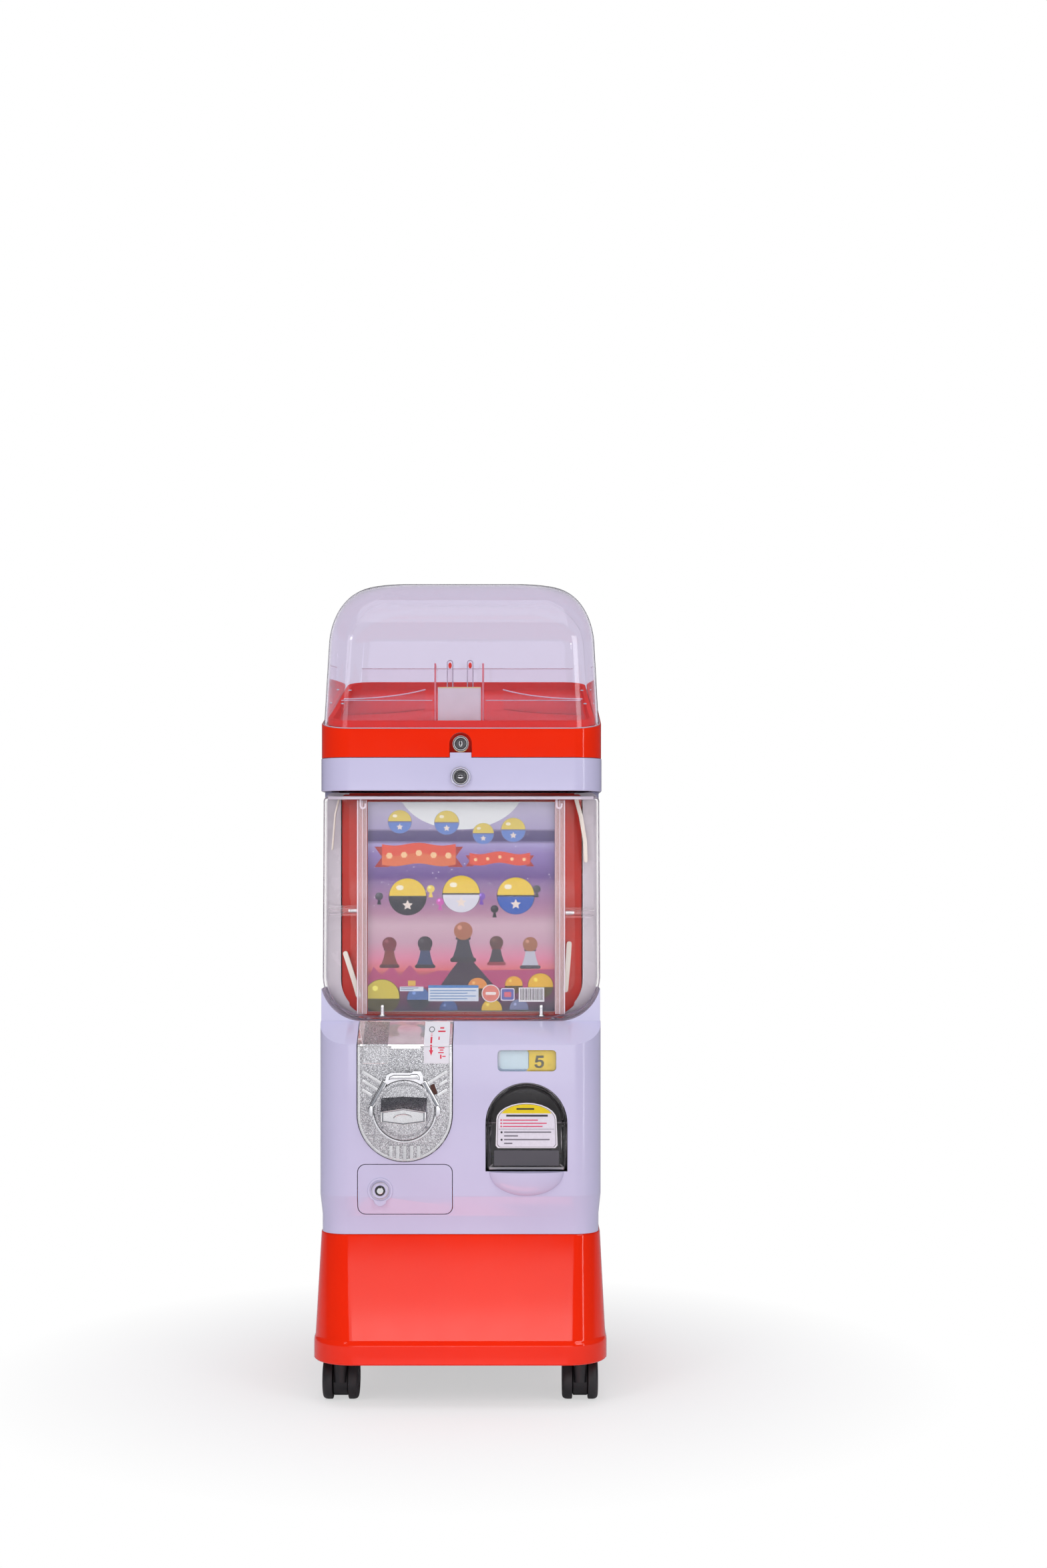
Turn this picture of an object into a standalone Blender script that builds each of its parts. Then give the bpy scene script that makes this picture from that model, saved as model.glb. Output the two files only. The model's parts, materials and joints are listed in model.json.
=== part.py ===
"""Capsule toy vendor: a coin-operated cabinet on casters, with a display hood and a capsule rotor.

Axes: X to the right, Y to the back, Z up. The origin is on the floor under the middle of the machine.
"""

import math

import bmesh
import bpy
from mathutils import Matrix, Vector

# Driving dimensions, in metres.
GAP = 0.0004  # between two pieces that touch
WALL = 0.003  # moulded plastic walls

FRONT_Y = -0.187  # face of the lower front panel
COVER_Y = -0.145  # face of the clear display cover, behind the sloping ledge
BAND_Y = -0.149
CABINET_REAR_Y = 0.208
BAND_REAR_Y = 0.2105
SKIRT_REAR_Y = 0.220

PANEL_HALF = 0.168
COLLAR_HALF = 0.1655
BAND_HALF = 0.1705
SKIRT_HALF = 0.175
CORNER = 0.037

SKIRT_BOTTOM = 0.052
SKIRT_LIP = 0.074
BASE_TOP = 0.202
BEVEL_LOW = 0.224
BEVEL_HIGH = 0.248
LEDGE_LOW = 0.428
LEDGE_HIGH = 0.453
COVER_TOP = 0.724
BAND_BOTTOM = 0.730
BAND_TOP = 0.770
LID_FRONT_TOP = 0.804
LID_SLOPE = 0.22  # the lid's upper edge rises to the rear
HOOD_TOP = 0.989

KNOB_X = -0.065
KNOB_Z = 0.3515
CHUTE_X = 0.079
ROTOR_X = -0.012
ROTOR_Y = 0.055

FACEPLATE_HALF = 0.056
FACEPLATE_ARC_Z = 0.346
FLAP_HALF = 0.0475
FLAP_ARC_Z = 0.3345
FLAP_BOTTOM = 0.2795
FLAP_AXIS = (CHUTE_X, -0.176, FLAP_ARC_Z)

DOOR_LOW = (-0.1205, 0.2265)
DOOR_HIGH = (-0.0090, 0.2860)
DOOR_AXIS = (-0.0120, FRONT_Y, 0.256)

LID_LOCK = (0.0, 0.7865)
DISPLAY_LOCK = (0.0, 0.7465)
CASH_LOCK = (-0.0940, 0.2555)

LID_AXIS = (0.0, 0.2155, BAND_TOP)
COVER_AXIS = (0.0, COVER_Y, LEDGE_HIGH + 0.001)

SPUR_TEETH = 18
PINION_TEETH = 10
CROWN_TEETH = 40
CROWN_PITCH_Z = 0.429
PINION_RADIUS = 0.0269
TRANSFER_Z = CROWN_PITCH_Z - PINION_RADIUS
SPUR_RADIUS = math.hypot(ROTOR_X - KNOB_X, TRANSFER_Z - KNOB_Z) / 2

CASTER_X = 0.143
CASTER_FRONT_Y = -0.165
CASTER_REAR_Y = 0.150
CASTER_TRAIL = 0.018
WHEEL_RADIUS = 0.025

# Colour (linear RGB and alpha), roughness and metallic value of each finish.
FINISHES = {
    "white_plastic": ((0.68, 0.66, 0.78, 1.0), 0.28, 0.0),
    "red_plastic": ((0.84, 0.035, 0.004, 1.0), 0.25, 0.0),
    "clear_plastic": ((0.86, 0.80, 0.86, 0.35), 0.05, 0.0),
    "smoked_plastic": ((0.30, 0.28, 0.29, 0.45), 0.08, 0.0),
    "dark_plastic": ((0.03, 0.03, 0.034, 1.0), 0.45, 0.0),
    "natural_nylon": ((0.80, 0.78, 0.72, 1.0), 0.5, 0.0),
    "cast_zinc": ((0.60, 0.60, 0.61, 1.0), 0.35, 1.0),
    "chrome": ((0.80, 0.80, 0.81, 1.0), 0.12, 1.0),
    "steel": ((0.56, 0.57, 0.58, 1.0), 0.3, 1.0),
    "printed_card": ((0.60, 0.45, 0.62, 1.0), 0.5, 0.0),
    "cream_card": ((0.80, 0.74, 0.62, 1.0), 0.7, 0.0),
    "price_card": ((0.85, 0.68, 0.10, 1.0), 0.6, 0.0),
}


# Scene, materials and bodies.


def clear_scene():
    for item in list(bpy.data.objects):
        bpy.data.objects.remove(item, do_unlink=True)


def new_collection(name):
    collection = bpy.data.collections.new(name)
    bpy.context.scene.collection.children.link(collection)
    return collection


def make_material(slot):
    colour, roughness, metallic = FINISHES[slot]
    material = bpy.data.materials.new(slot)
    material.use_nodes = True
    shader = material.node_tree.nodes["Principled BSDF"]
    shader.inputs["Base Color"].default_value = colour
    shader.inputs["Alpha"].default_value = colour[3]
    shader.inputs["Roughness"].default_value = roughness
    shader.inputs["Metallic"].default_value = metallic
    material.diffuse_color = colour
    return material


def add_object(name, data, slot=None):
    """A sub-part in the model's collection, or a cutter where no finish is given."""
    piece = bpy.data.objects.new(name, data)
    if slot is None:
        CUTTERS.objects.link(piece)
        piece.hide_render = True
        piece.display_type = "WIRE"
        return piece
    MODEL.objects.link(piece)
    piece.data.materials.append(MATERIALS[slot])
    return piece


def from_bmesh(name, bm, slot=None):
    mesh = bpy.data.meshes.new(name)
    bm.to_mesh(mesh)
    bm.free()
    return add_object(name, mesh, slot)


def smooth(piece, angle=35):
    piece.data.shade_smooth()
    piece.data.set_sharp_from_angle(angle=math.radians(angle))
    return piece


def set_origin(piece, point):
    """Moves the object's origin to a point, and leaves its shape where it is."""
    piece.data.transform(Matrix.Translation(-Vector(point)))
    piece.location = point


def make_body(name, axis_point, pieces, parent=None):
    """An empty on the joint's axis that carries the pieces of one moving body."""
    body = bpy.data.objects.new(name, None)
    body.empty_display_size = 0.02
    MODEL.objects.link(body)
    body.location = axis_point
    if parent is not None:
        body.parent = parent
        body.location = Vector(axis_point) - Vector(parent["axis_point"])
    body["axis_point"] = axis_point
    for piece in pieces:
        set_origin(piece, axis_point)
        piece.parent = body
        piece.location = (0, 0, 0)
    return body


# Outlines: lists of (u, v) points, anticlockwise.


def arc(centre, radius, start, end, steps):
    """Points of an arc from one angle to another, in degrees."""
    angles = [math.radians(start + (end - start) * k / steps) for k in range(steps + 1)]
    return [(centre[0] + radius * math.cos(a), centre[1] + radius * math.sin(a)) for a in angles]


def circle(centre, radius, sides=24):
    return arc(centre, radius, 0, 360, sides)[:-1]


def round_box(low, high, low_radius, high_radius=None, steps=4):
    """A rectangle with rounded corners: one radius at the low v end and one at the high v end."""
    high_radius = low_radius if high_radius is None else high_radius
    (u0, v0), (u1, v1) = low, high
    points = arc((u0 + low_radius, v0 + low_radius), low_radius, 180, 270, steps)
    points += arc((u1 - low_radius, v0 + low_radius), low_radius, 270, 360, steps)
    points += arc((u1 - high_radius, v1 - high_radius), high_radius, 0, 90, steps)
    points += arc((u0 + high_radius, v1 - high_radius), high_radius, 90, 180, steps)
    return points


def plan(half, front, rear, radius, centre=0.0, steps=4):
    """A footprint seen from above."""
    return round_box((centre - half, front), (centre + half, rear), radius, steps=steps)


def front_u(half, front, radius, end):
    """The front wall and both corners of a footprint, open at the back."""
    points = [(-half, end)]
    points += arc((radius - half, front + radius), radius, 180, 270, 5)
    points += arc((half - radius, front + radius), radius, 270, 360, 5)
    return points + [(half, end)]


def arch(centre_u, half, bottom, spring, steps=14):
    """A doorway outline: straight sides and a half-round top."""
    return [(centre_u - half, bottom), (centre_u + half, bottom)] + arc((centre_u, spring), half, 0, 180, steps)


def gear(centre, teeth, radius, addendum, dedendum, share, phase):
    """A spur gear outline. phase is the angle of one tooth's middle, share its part of a pitch."""
    points = []
    for k in range(teeth):
        middle = phase + 360 * k / teeth
        foot, tip = 180 * (share + 0.12) / teeth, 180 * (share - 0.12) / teeth
        for angle, reach in ((-foot, -dedendum), (-tip, addendum), (tip, addendum), (foot, -dedendum)):
            points += arc(centre, radius + reach, middle + angle, middle + angle, 1)[:1]
    return points


# Solids.


def box(name, low, high, slot=None):
    bm = bmesh.new()
    bmesh.ops.create_cube(bm, size=1)
    size = Vector(high) - Vector(low)
    bmesh.ops.scale(bm, vec=size, verts=bm.verts)
    bmesh.ops.translate(bm, vec=Vector(low) + size / 2, verts=bm.verts)
    return from_bmesh(name, bm, slot)


def rod(name, start, end, radius, slot=None, sides=24, end_radius=None):
    """A round bar, or a cone, between two points."""
    start, end = Vector(start), Vector(end)
    along = end - start
    bm = bmesh.new()
    second = radius if end_radius is None else end_radius
    bmesh.ops.create_cone(
        bm, cap_ends=True, segments=sides, radius1=radius, radius2=second, depth=along.length
    )
    turn = Vector((0, 0, 1)).rotation_difference(along).to_matrix()
    bmesh.ops.rotate(bm, matrix=turn, verts=bm.verts)
    bmesh.ops.translate(bm, vec=(start + end) / 2, verts=bm.verts)
    return smooth(from_bmesh(name, bm, slot))


PLANES = {
    "XY": Matrix.Identity(4),
    "XZ": Matrix.Rotation(math.radians(90), 4, "X"),
    "YZ": Matrix(((0, 0, 1, 0), (1, 0, 0, 0), (0, 1, 0, 0), (0, 0, 0, 1))),
}


def plate(name, outlines, plane, low, high, slot=None):
    """Flat outlines, the first filled and the others holes in it, extruded from low to high."""
    curve = bpy.data.curves.new(name, "CURVE")
    curve.dimensions = "2D"
    curve.fill_mode = "BOTH"
    curve.extrude = (high - low) / 2
    for outline in outlines:
        spline = curve.splines.new("POLY")
        spline.points.add(len(outline) - 1)
        for point, (u, v) in zip(spline.points, outline):
            point.co = (u, v, 0, 1)
        spline.use_cyclic_u = True
    middle = (low + high) / 2
    offset = {"XY": (0, 0, middle), "XZ": (0, middle, 0), "YZ": (middle, 0, 0)}[plane]
    mesh = curve_mesh(name, curve)
    mesh.transform(Matrix.Translation(offset) @ PLANES[plane])
    return add_object(name, mesh, slot)


def curve_mesh(name, curve):
    """The closed mesh of a curve, which can then be cut."""
    guide = bpy.data.objects.new(name, curve)
    CUTTERS.objects.link(guide)
    bpy.context.view_layer.update()
    evaluated = guide.evaluated_get(bpy.context.evaluated_depsgraph_get())
    mesh = bpy.data.meshes.new_from_object(evaluated)
    bpy.data.objects.remove(guide, do_unlink=True)
    weld(mesh)
    return mesh


def weld(mesh):
    bm = bmesh.new()
    bm.from_mesh(mesh)
    bmesh.ops.remove_doubles(bm, verts=bm.verts, dist=1e-6)
    bmesh.ops.dissolve_degenerate(bm, edges=bm.edges, dist=1e-6)
    bmesh.ops.recalc_face_normals(bm, faces=bm.faces)
    bm.to_mesh(mesh)
    bm.free()


def has_area(quad):
    """False where rings run together and leave no face between them."""
    a, b, c, d = (vert.co for vert in quad)
    return (c - a).cross(d - b).length > 1e-9


def loft(name, rings, slot=None, closed=True, cap_first=False, cap_last=False):
    """A skin over rings of (x, y, z) points that all hold the same number of points."""
    bm = bmesh.new()
    loops = [[bm.verts.new(point) for point in ring] for ring in rings]
    count = len(rings[0])
    for lower, upper in zip(loops, loops[1:]):
        for k in range(count if closed else count - 1):
            n = (k + 1) % count
            quad = (lower[k], lower[n], upper[n], upper[k])
            if has_area(quad):
                bm.faces.new(quad)
    if cap_first:
        bm.faces.new(reversed(loops[0]))
    if cap_last:
        bm.faces.new(loops[-1])
    bmesh.ops.remove_doubles(bm, verts=bm.verts, dist=1e-6)
    loose = [vert for vert in bm.verts if not vert.link_faces]
    bmesh.ops.delete(bm, geom=loose, context="VERTS")
    return smooth(from_bmesh(name, bm, slot))


def lift(outline, height):
    """A plan outline at a height, which is a number or a function of y."""
    if callable(height):
        return [(x, y, height(y)) for x, y in outline]
    return [(x, y, height) for x, y in outline]


def lathe(name, profile, centre, slot=None, steps=32):
    """A turned shape about a vertical axis. The profile is (radius, z), top to bottom on its outer side."""
    bm = bmesh.new()
    points = [bm.verts.new((radius, 0, z)) for radius, z in profile]
    for first, second in zip(points, points[1:]):
        bm.edges.new((first, second))
    piece = from_bmesh(name, bm, slot)
    piece.location = centre
    screw = piece.modifiers.new("Turn", "SCREW")
    screw.steps = screw.render_steps = steps
    screw.use_merge_vertices = True
    screw.merge_threshold = 1e-5
    return bake(piece)


def thicken(piece, thickness=WALL, outward=False):
    """Gives a skin its wall, on the inner side of its faces or on the outer one."""
    solidify = piece.modifiers.new("Wall", "SOLIDIFY")
    solidify.thickness = thickness
    solidify.offset = 1 if outward else -1
    solidify.use_even_offset = True
    solidify.use_quality_normals = True
    return piece


def bake(piece):
    """Applies a piece's modifiers and its place, so that it can be cut and copied."""
    bpy.context.view_layer.update()
    evaluated = piece.evaluated_get(bpy.context.evaluated_depsgraph_get())
    mesh = bpy.data.meshes.new_from_object(evaluated)
    mesh.transform(piece.matrix_world)
    weld(mesh)
    piece.modifiers.clear()
    piece.data = mesh
    piece.location = (0, 0, 0)
    return piece


def combine(piece, operation, tools):
    for tool in tools:
        boolean = piece.modifiers.new(operation.title(), "BOOLEAN")
        boolean.operation = operation
        boolean.solver = "EXACT"
        boolean.object = tool
    return bake(piece)


def cut(piece, *tools):
    return combine(piece, "DIFFERENCE", tools)


def join(piece, *tools):
    return combine(piece, "UNION", tools)


def keep(piece, *tools):
    return combine(piece, "INTERSECT", tools)


def tube(name, start, end, radius, bore, slot, sides=24):
    """A round bar with a hole right through it."""
    along = (Vector(end) - Vector(start)).normalized() * 0.001
    hole = rod(name + "_bore", Vector(start) - along, Vector(end) + along, bore, sides=sides)
    return cut(rod(name, start, end, radius, slot, sides), hole)


# The base and the cabinet.


def make_base():
    foot = plan(SKIRT_HALF, -0.205, SKIRT_REAR_Y, 0.050)
    shoulder = plan(SKIRT_HALF - 0.0015, -0.202, SKIRT_REAR_Y - 0.0015, 0.0485)
    top = plan(0.167, -0.178, 0.206, CORNER)
    rings = [
        lift(plan(SKIRT_HALF - 0.014, -0.191, SKIRT_REAR_Y - 0.014, 0.036), SKIRT_BOTTOM),
        lift(foot, SKIRT_BOTTOM),
        lift(foot, SKIRT_LIP),
        lift(shoulder, SKIRT_LIP + 0.006),
        lift(top, BASE_TOP),
        lift(plan(0.151, -0.162, 0.190, 0.021), BASE_TOP),
    ]
    skirt = thicken(loft("base_skirt", rings, "red_plastic"))
    stems = [circle((x, y), 0.0056, 16) for x, y in caster_places()]
    floor = plan(SKIRT_HALF - 0.005, -0.200, SKIRT_REAR_Y - 0.005, 0.045)
    chassis = plate("chassis_plate", [floor, *stems], "XY", 0.0560, 0.0590, "steel")
    return [skirt, chassis]


def rear_u(half, start, rear, radius):
    """Both sides and the back of a footprint, open at the front."""
    points = [(half, start)]
    points += arc((half - radius, rear - radius), radius, 0, 90, 5)
    points += arc((radius - half, rear - radius), radius, 90, 180, 5)
    return points + [(-half, start)]


def make_lower_cabinet():
    joint = COVER_Y + 0.0010
    collar = rear_u(COLLAR_HALF, joint, CABINET_REAR_Y - 0.0025, 0.034)
    body = rear_u(PANEL_HALF, joint, CABINET_REAR_Y, CORNER)
    rings = [
        lift(collar, BASE_TOP + GAP),
        lift(collar, BEVEL_LOW),
        lift(body, BEVEL_HIGH),
        lift(body, LEDGE_HIGH - WALL - GAP),
    ]
    cabinet = thicken(loft("lower_cabinet", rings, "white_plastic", closed=False))
    opening = plate(
        "service_opening", [round_box((-0.105, 0.262), (0.105, 0.425), 0.012)], "XZ", 0.19, 0.22
    )
    cabinet = cut(cabinet, opening)
    outline = round_box((-0.115, 0.252), (0.115, 0.435), 0.014)
    panel = plate(
        "back_panel", [outline], "XZ", CABINET_REAR_Y + GAP, CABINET_REAR_Y + 0.0028, "white_plastic"
    )
    return [cabinet, panel]


def ledge_height(y):
    slope = (LEDGE_HIGH - LEDGE_LOW) / (COVER_Y - FRONT_Y)
    return min(LEDGE_LOW + slope * (y - FRONT_Y), LEDGE_HIGH)


def front_skin(name, slot):
    """The lower front: collar, bevel, upright face, sloping ledge and the sill under the cover."""
    collar = front_u(COLLAR_HALF, FRONT_Y + 0.009, 0.030, COVER_Y)
    face = front_u(PANEL_HALF, FRONT_Y, CORNER, COVER_Y)
    inner = PANEL_HALF - 0.0038
    sill = [x if abs(x) == PANEL_HALF else max(-inner, min(inner, x)) for x, _ in face]
    rings = [
        lift(collar, BASE_TOP + GAP),
        lift(collar, BEVEL_LOW),
        lift(face, BEVEL_HIGH),
        lift(face, ledge_height),
        [(x, COVER_Y, LEDGE_HIGH) for x in sill],
        [(x, -0.100, LEDGE_HIGH) for x in sill],
    ]
    return bake(thicken(loft(name, rings, slot, closed=False)))


def make_shoulders():
    """The white corners that hug the cover's rounded lower corners."""
    centre = (0.1175, LEDGE_HIGH + 0.051)
    edge = arc(centre, 0.0513, -14, -90, 7)
    outer, low = PANEL_HALF - 0.0004, LEDGE_HIGH - 0.0019
    right = [(centre[0], low), (outer, low), (outer, edge[0][1])] + edge
    left = [(-x, z) for x, z in right]
    return plate("shoulders", [left, right], "XZ", COVER_Y + 0.0002, -0.1007)


def make_catch_cup():
    """The half-round bowl under the capsule opening."""
    shells = []
    for name, half, depth, height in (("cup", 0.0443, 0.012, 0.029), ("cup_hollow", 0.0420, 0.0095, 0.0265)):
        bm = bmesh.new()
        bmesh.ops.create_uvsphere(bm, u_segments=24, v_segments=14, radius=1)
        bmesh.ops.scale(bm, vec=(half, depth, height), verts=bm.verts)
        bmesh.ops.translate(bm, vec=(CHUTE_X, FRONT_Y + 0.001, 0.278), verts=bm.verts)
        shells.append(from_bmesh(name, bm))
    front = box("cup_front", (0, -0.21, 0.24), (0.15, FRONT_Y + 0.0012, 0.2776))
    return cut(keep(shells[0], front), shells[1])


def faceplate_outline(margin=0.0, top=LEDGE_LOW):
    half = FACEPLATE_HALF + margin
    bottom = arc((KNOB_X, FACEPLATE_ARC_Z), half, 180, 360, 16)
    return bottom + [(KNOB_X + half, top), (KNOB_X - half, top)]


def door_outline(margin=0.0):
    (x0, z0), (x1, z1) = DOOR_LOW, DOOR_HIGH
    return round_box((x0 - margin, z0 - margin), (x1 + margin, z1 + margin), 0.009 + margin)


def make_front_panel():
    panel = front_skin("front_panel", "white_plastic")
    panel = join(panel, make_shoulders())
    openings = [
        plate("mech_opening", [faceplate_outline(0.0008, 0.47)], "XZ", -0.22, COVER_Y - 0.0012),
        plate("chute_opening", [arch(CHUTE_X, FLAP_HALF + 0.001, 0.278, FLAP_ARC_Z)], "XZ", -0.22, -0.17),
        plate("price_opening", [round_box((0.0449, 0.3965), (0.1143, 0.4215), 0.005)], "XZ", -0.22, -0.17),
        plate("door_opening", [door_outline(0.001)], "XZ", -0.22, -0.16),
    ]
    panel = cut(panel, *openings)
    return join(panel, make_catch_cup())


def make_upper_cabinet():
    flange = [(0.150, -0.0955)]
    sides = rear_u(PANEL_HALF - 0.0005, -0.0955, CABINET_REAR_Y, CORNER)
    outline = flange + sides + [(-0.150, -0.0955)]
    rings = [lift(outline, LEDGE_HIGH - WALL), lift(outline, BAND_BOTTOM - GAP)]
    return thicken(loft("upper_cabinet", rings, "white_plastic", closed=False))


def make_top_band():
    outline = plan(BAND_HALF, BAND_Y, BAND_REAR_Y, 0.039)
    inner = plan(BAND_HALF - 0.012, BAND_Y + 0.012, BAND_REAR_Y - 0.012, 0.027)
    rings = [lift(inner, BAND_BOTTOM), lift(outline, BAND_BOTTOM), lift(outline, BAND_TOP - GAP)]
    band = thicken(loft("top_band", rings, "white_plastic"))
    tab = box("band_tab", (-0.0130, -0.1484, 0.766), (0.0130, -0.1462, 0.7758))
    x, z = DISPLAY_LOCK
    hole = rod("display_lock_hole", (x, -0.16, z), (x, -0.14, z), 0.0088)
    return cut(join(band, tab), hole)


def make_backing():
    """The red curved wall behind the poster."""
    radius, half_angle = 0.5638, 15.11
    wall = arc((0, radius - 0.113), radius, 270 - half_angle, 270 + half_angle, 12)
    rings = [lift(wall, LEDGE_HIGH + 0.0004), lift(wall, 0.7285)]
    backing = thicken(loft("backing_panel", rings, "red_plastic", closed=False), 0.0025)
    outline = round_box((-0.149, LEDGE_HIGH + 0.0004), (0.149, 0.7285), 0.045, 0.006)
    return keep(backing, plate("backing_outline", [outline], "XZ", -0.13, -0.08))


# The capsule store and the way out.


def rotor_point(radius, angle):
    a = math.radians(angle)
    return (ROTOR_X + radius * math.cos(a), ROTOR_Y + radius * math.sin(a))


def disc_plan(radius):
    return plan(radius, ROTOR_Y - radius, ROTOR_Y + radius, radius, centre=ROTOR_X)


def make_hopper():
    rings = [
        lift(disc_plan(0.1145), 0.4390),
        lift(disc_plan(0.1145), 0.500),
        lift(plan(0.150, -0.088, 0.196, 0.030), 0.640),
        lift(plan(0.150, -0.088, 0.196, 0.030), 0.718),
    ]
    return thicken(loft("hopper_bin", rings, "natural_nylon"), 0.0025, outward=True)


def make_deck():
    """The plate under the rotor, with the hole that a capsule drops through."""
    centre = (ROTOR_X, ROTOR_Y)
    profile = [(0.0088, 0.4355), (0.098, 0.4355), (0.098, 0.4105), (0.095, 0.4105)]
    profile += [(0.095, 0.4325), (0.0088, 0.4325), (0.0088, 0.4355)]
    deck = lathe("rotor_deck", profile, (*centre, 0), "natural_nylon", steps=36)
    outline = [(-0.161, -0.088), (0.161, -0.088), (0.161, 0.183), (-0.161, 0.183)]
    shelf = plate("deck_shelf", [outline, circle(centre, 0.0965, 36)], "XY", 0.4107, 0.4135)
    drop = rotor_point(0.062, -45)
    hole = rod("drop_hole", (*drop, 0.425), (*drop, 0.445), 0.041)
    notch = box("pinion_notch", (ROTOR_X - 0.034, -0.062, 0.40), (ROTOR_X + 0.034, -0.0445, 0.42))
    deck = cut(join(deck, shelf), hole, notch)
    guard = arc(drop, 0.043, -5, 275, 20) + [rotor_point(0.1115, -52), rotor_point(0.1115, -38)]
    return [deck, plate("drop_guard", [guard], "XY", 0.4725, 0.4745, "steel")]


def crown_tooth(angle):
    """One tooth of the crown ring, a tapered block that hangs under the rim."""
    bm = bmesh.new()
    bmesh.ops.create_cube(bm, size=1)
    bmesh.ops.scale(bm, vec=(0.0095, 0.0074, 0.0078), verts=bm.verts)
    tip = [vert for vert in bm.verts if vert.co.z < 0]
    bmesh.ops.scale(bm, vec=(1, 0.6, 1), verts=tip)
    bmesh.ops.translate(bm, vec=(0.1058, 0, CROWN_PITCH_Z + 0.0009), verts=bm.verts)
    bmesh.ops.rotate(bm, matrix=Matrix.Rotation(math.radians(angle), 3, "Z"), verts=bm.verts)
    bmesh.ops.translate(bm, vec=(ROTOR_X, ROTOR_Y, 0), verts=bm.verts)
    return bm


def make_rotor():
    """The four-pocket wheel, with its spindle and its crown ring in one moulding."""
    profile = [(0, 0.470), (0.112, 0.470), (0.112, 0.4330), (0.1005, 0.4330), (0.1005, 0.4378)]
    profile += [(0.008, 0.4378), (0.008, 0.4080), (0, 0.4080)]
    rotor = lathe("rotor", profile, (ROTOR_X, ROTOR_Y, 0), "natural_nylon", steps=40)
    pockets = []
    for k in range(4):
        x, y = rotor_point(0.062, 45 + 90 * k)
        pockets.append(rod(f"pocket_{k + 1}", (x, y, 0.43), (x, y, 0.48), 0.0375))
    teeth = bmesh.new()
    for k in range(CROWN_TEETH):
        tooth = crown_tooth(-90 + 360 * (k + 0.5) / CROWN_TEETH)
        mesh = bpy.data.meshes.new("tooth")
        tooth.to_mesh(mesh)
        tooth.free()
        teeth.from_mesh(mesh)
        bpy.data.meshes.remove(mesh)
    rotor = join(cut(rotor, *pockets), from_bmesh("crown_teeth", teeth))
    return smooth(rotor)


def make_agitator():
    """The bent finger on the rotor that keeps capsules from jamming."""
    path = [(*rotor_point(r, 70), z) for r, z in ((0.008, 0.4705), (0.009, 0.50), (0.016, 0.525), (0.036, 0.545))]
    curve = bpy.data.curves.new("agitator", "CURVE")
    curve.dimensions = "3D"
    curve.bevel_depth = 0.0028
    curve.bevel_resolution = 2
    curve.use_fill_caps = True
    spline = curve.splines.new("POLY")
    spline.points.add(len(path) - 1)
    for point, place in zip(spline.points, path):
        point.co = (*place, 1)
    return smooth(add_object("agitator", curve_mesh("agitator", curve), "steel"))


def make_capsule_chute():
    """The sloping trough from the drop hole to the pick-up pocket."""
    sections = [
        (-0.012, 0.074, 0.052, 0.388, 0.408),
        (0.004, 0.088, 0.0, 0.352, 0.408),
        (0.036, 0.122, -0.0965, 0.288, 0.352),
    ]
    rings = []
    for left, right, y, floor, top in sections:
        rings.append([(left, y, top), (left, y, floor), (right, y, floor), (right, y, top)])
    return thicken(loft("capsule_chute", rings, "natural_nylon", closed=False), 0.002, outward=True)


def make_dispense_bin():
    """The dark pocket behind the flap, open to the front and to the trough."""
    shell = box("dispense_bin", (0.0290, -0.1835, 0.2540), (0.1290, -0.0980, 0.3900), "dark_plastic")
    hollow = box("bin_hollow", (0.0310, -0.20, 0.2560), (0.1270, -0.1000, 0.3880))
    entry = box("bin_entry", (0.0340, -0.11, 0.2820), (0.1240, -0.09, 0.3620))
    _, y, z = FLAP_AXIS
    bore = rod("bin_pin_bore", (0.02, y, z), (0.14, y, z), 0.0019, sides=12)
    pin = rod("flap_pin", (0.0288, y, z), (0.1292, y, z), 0.0015, "steel", sides=12)
    return [cut(shell, hollow, entry, bore), pin]


def make_flap():
    def ring(half, bottom, y):
        return [(x, y, z) for x, z in arch(CHUTE_X, half, bottom, FLAP_ARC_Z)]

    rings = [ring(FLAP_HALF, FLAP_BOTTOM, -0.1795), ring(0.0460, 0.2810, -0.1860), ring(0.0415, 0.2855, -0.1895)]
    flap = bake(thicken(loft("chute_flap", rings, "smoked_plastic", cap_last=True), 0.002))
    _, y, z = FLAP_AXIS
    lugs = []
    for name, x in (("lug_left", CHUTE_X - 0.0445), ("lug_right", CHUTE_X + 0.0415)):
        lugs.append(box(name, (x, -0.187, z - 0.004), (x + 0.003, y + 0.004, z + 0.004)))
    bore = rod("flap_bore", (0.02, y, z), (0.14, y, z), 0.0019, sides=12)
    return cut(join(flap, *lugs), bore)


# The coin mechanism.


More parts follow.
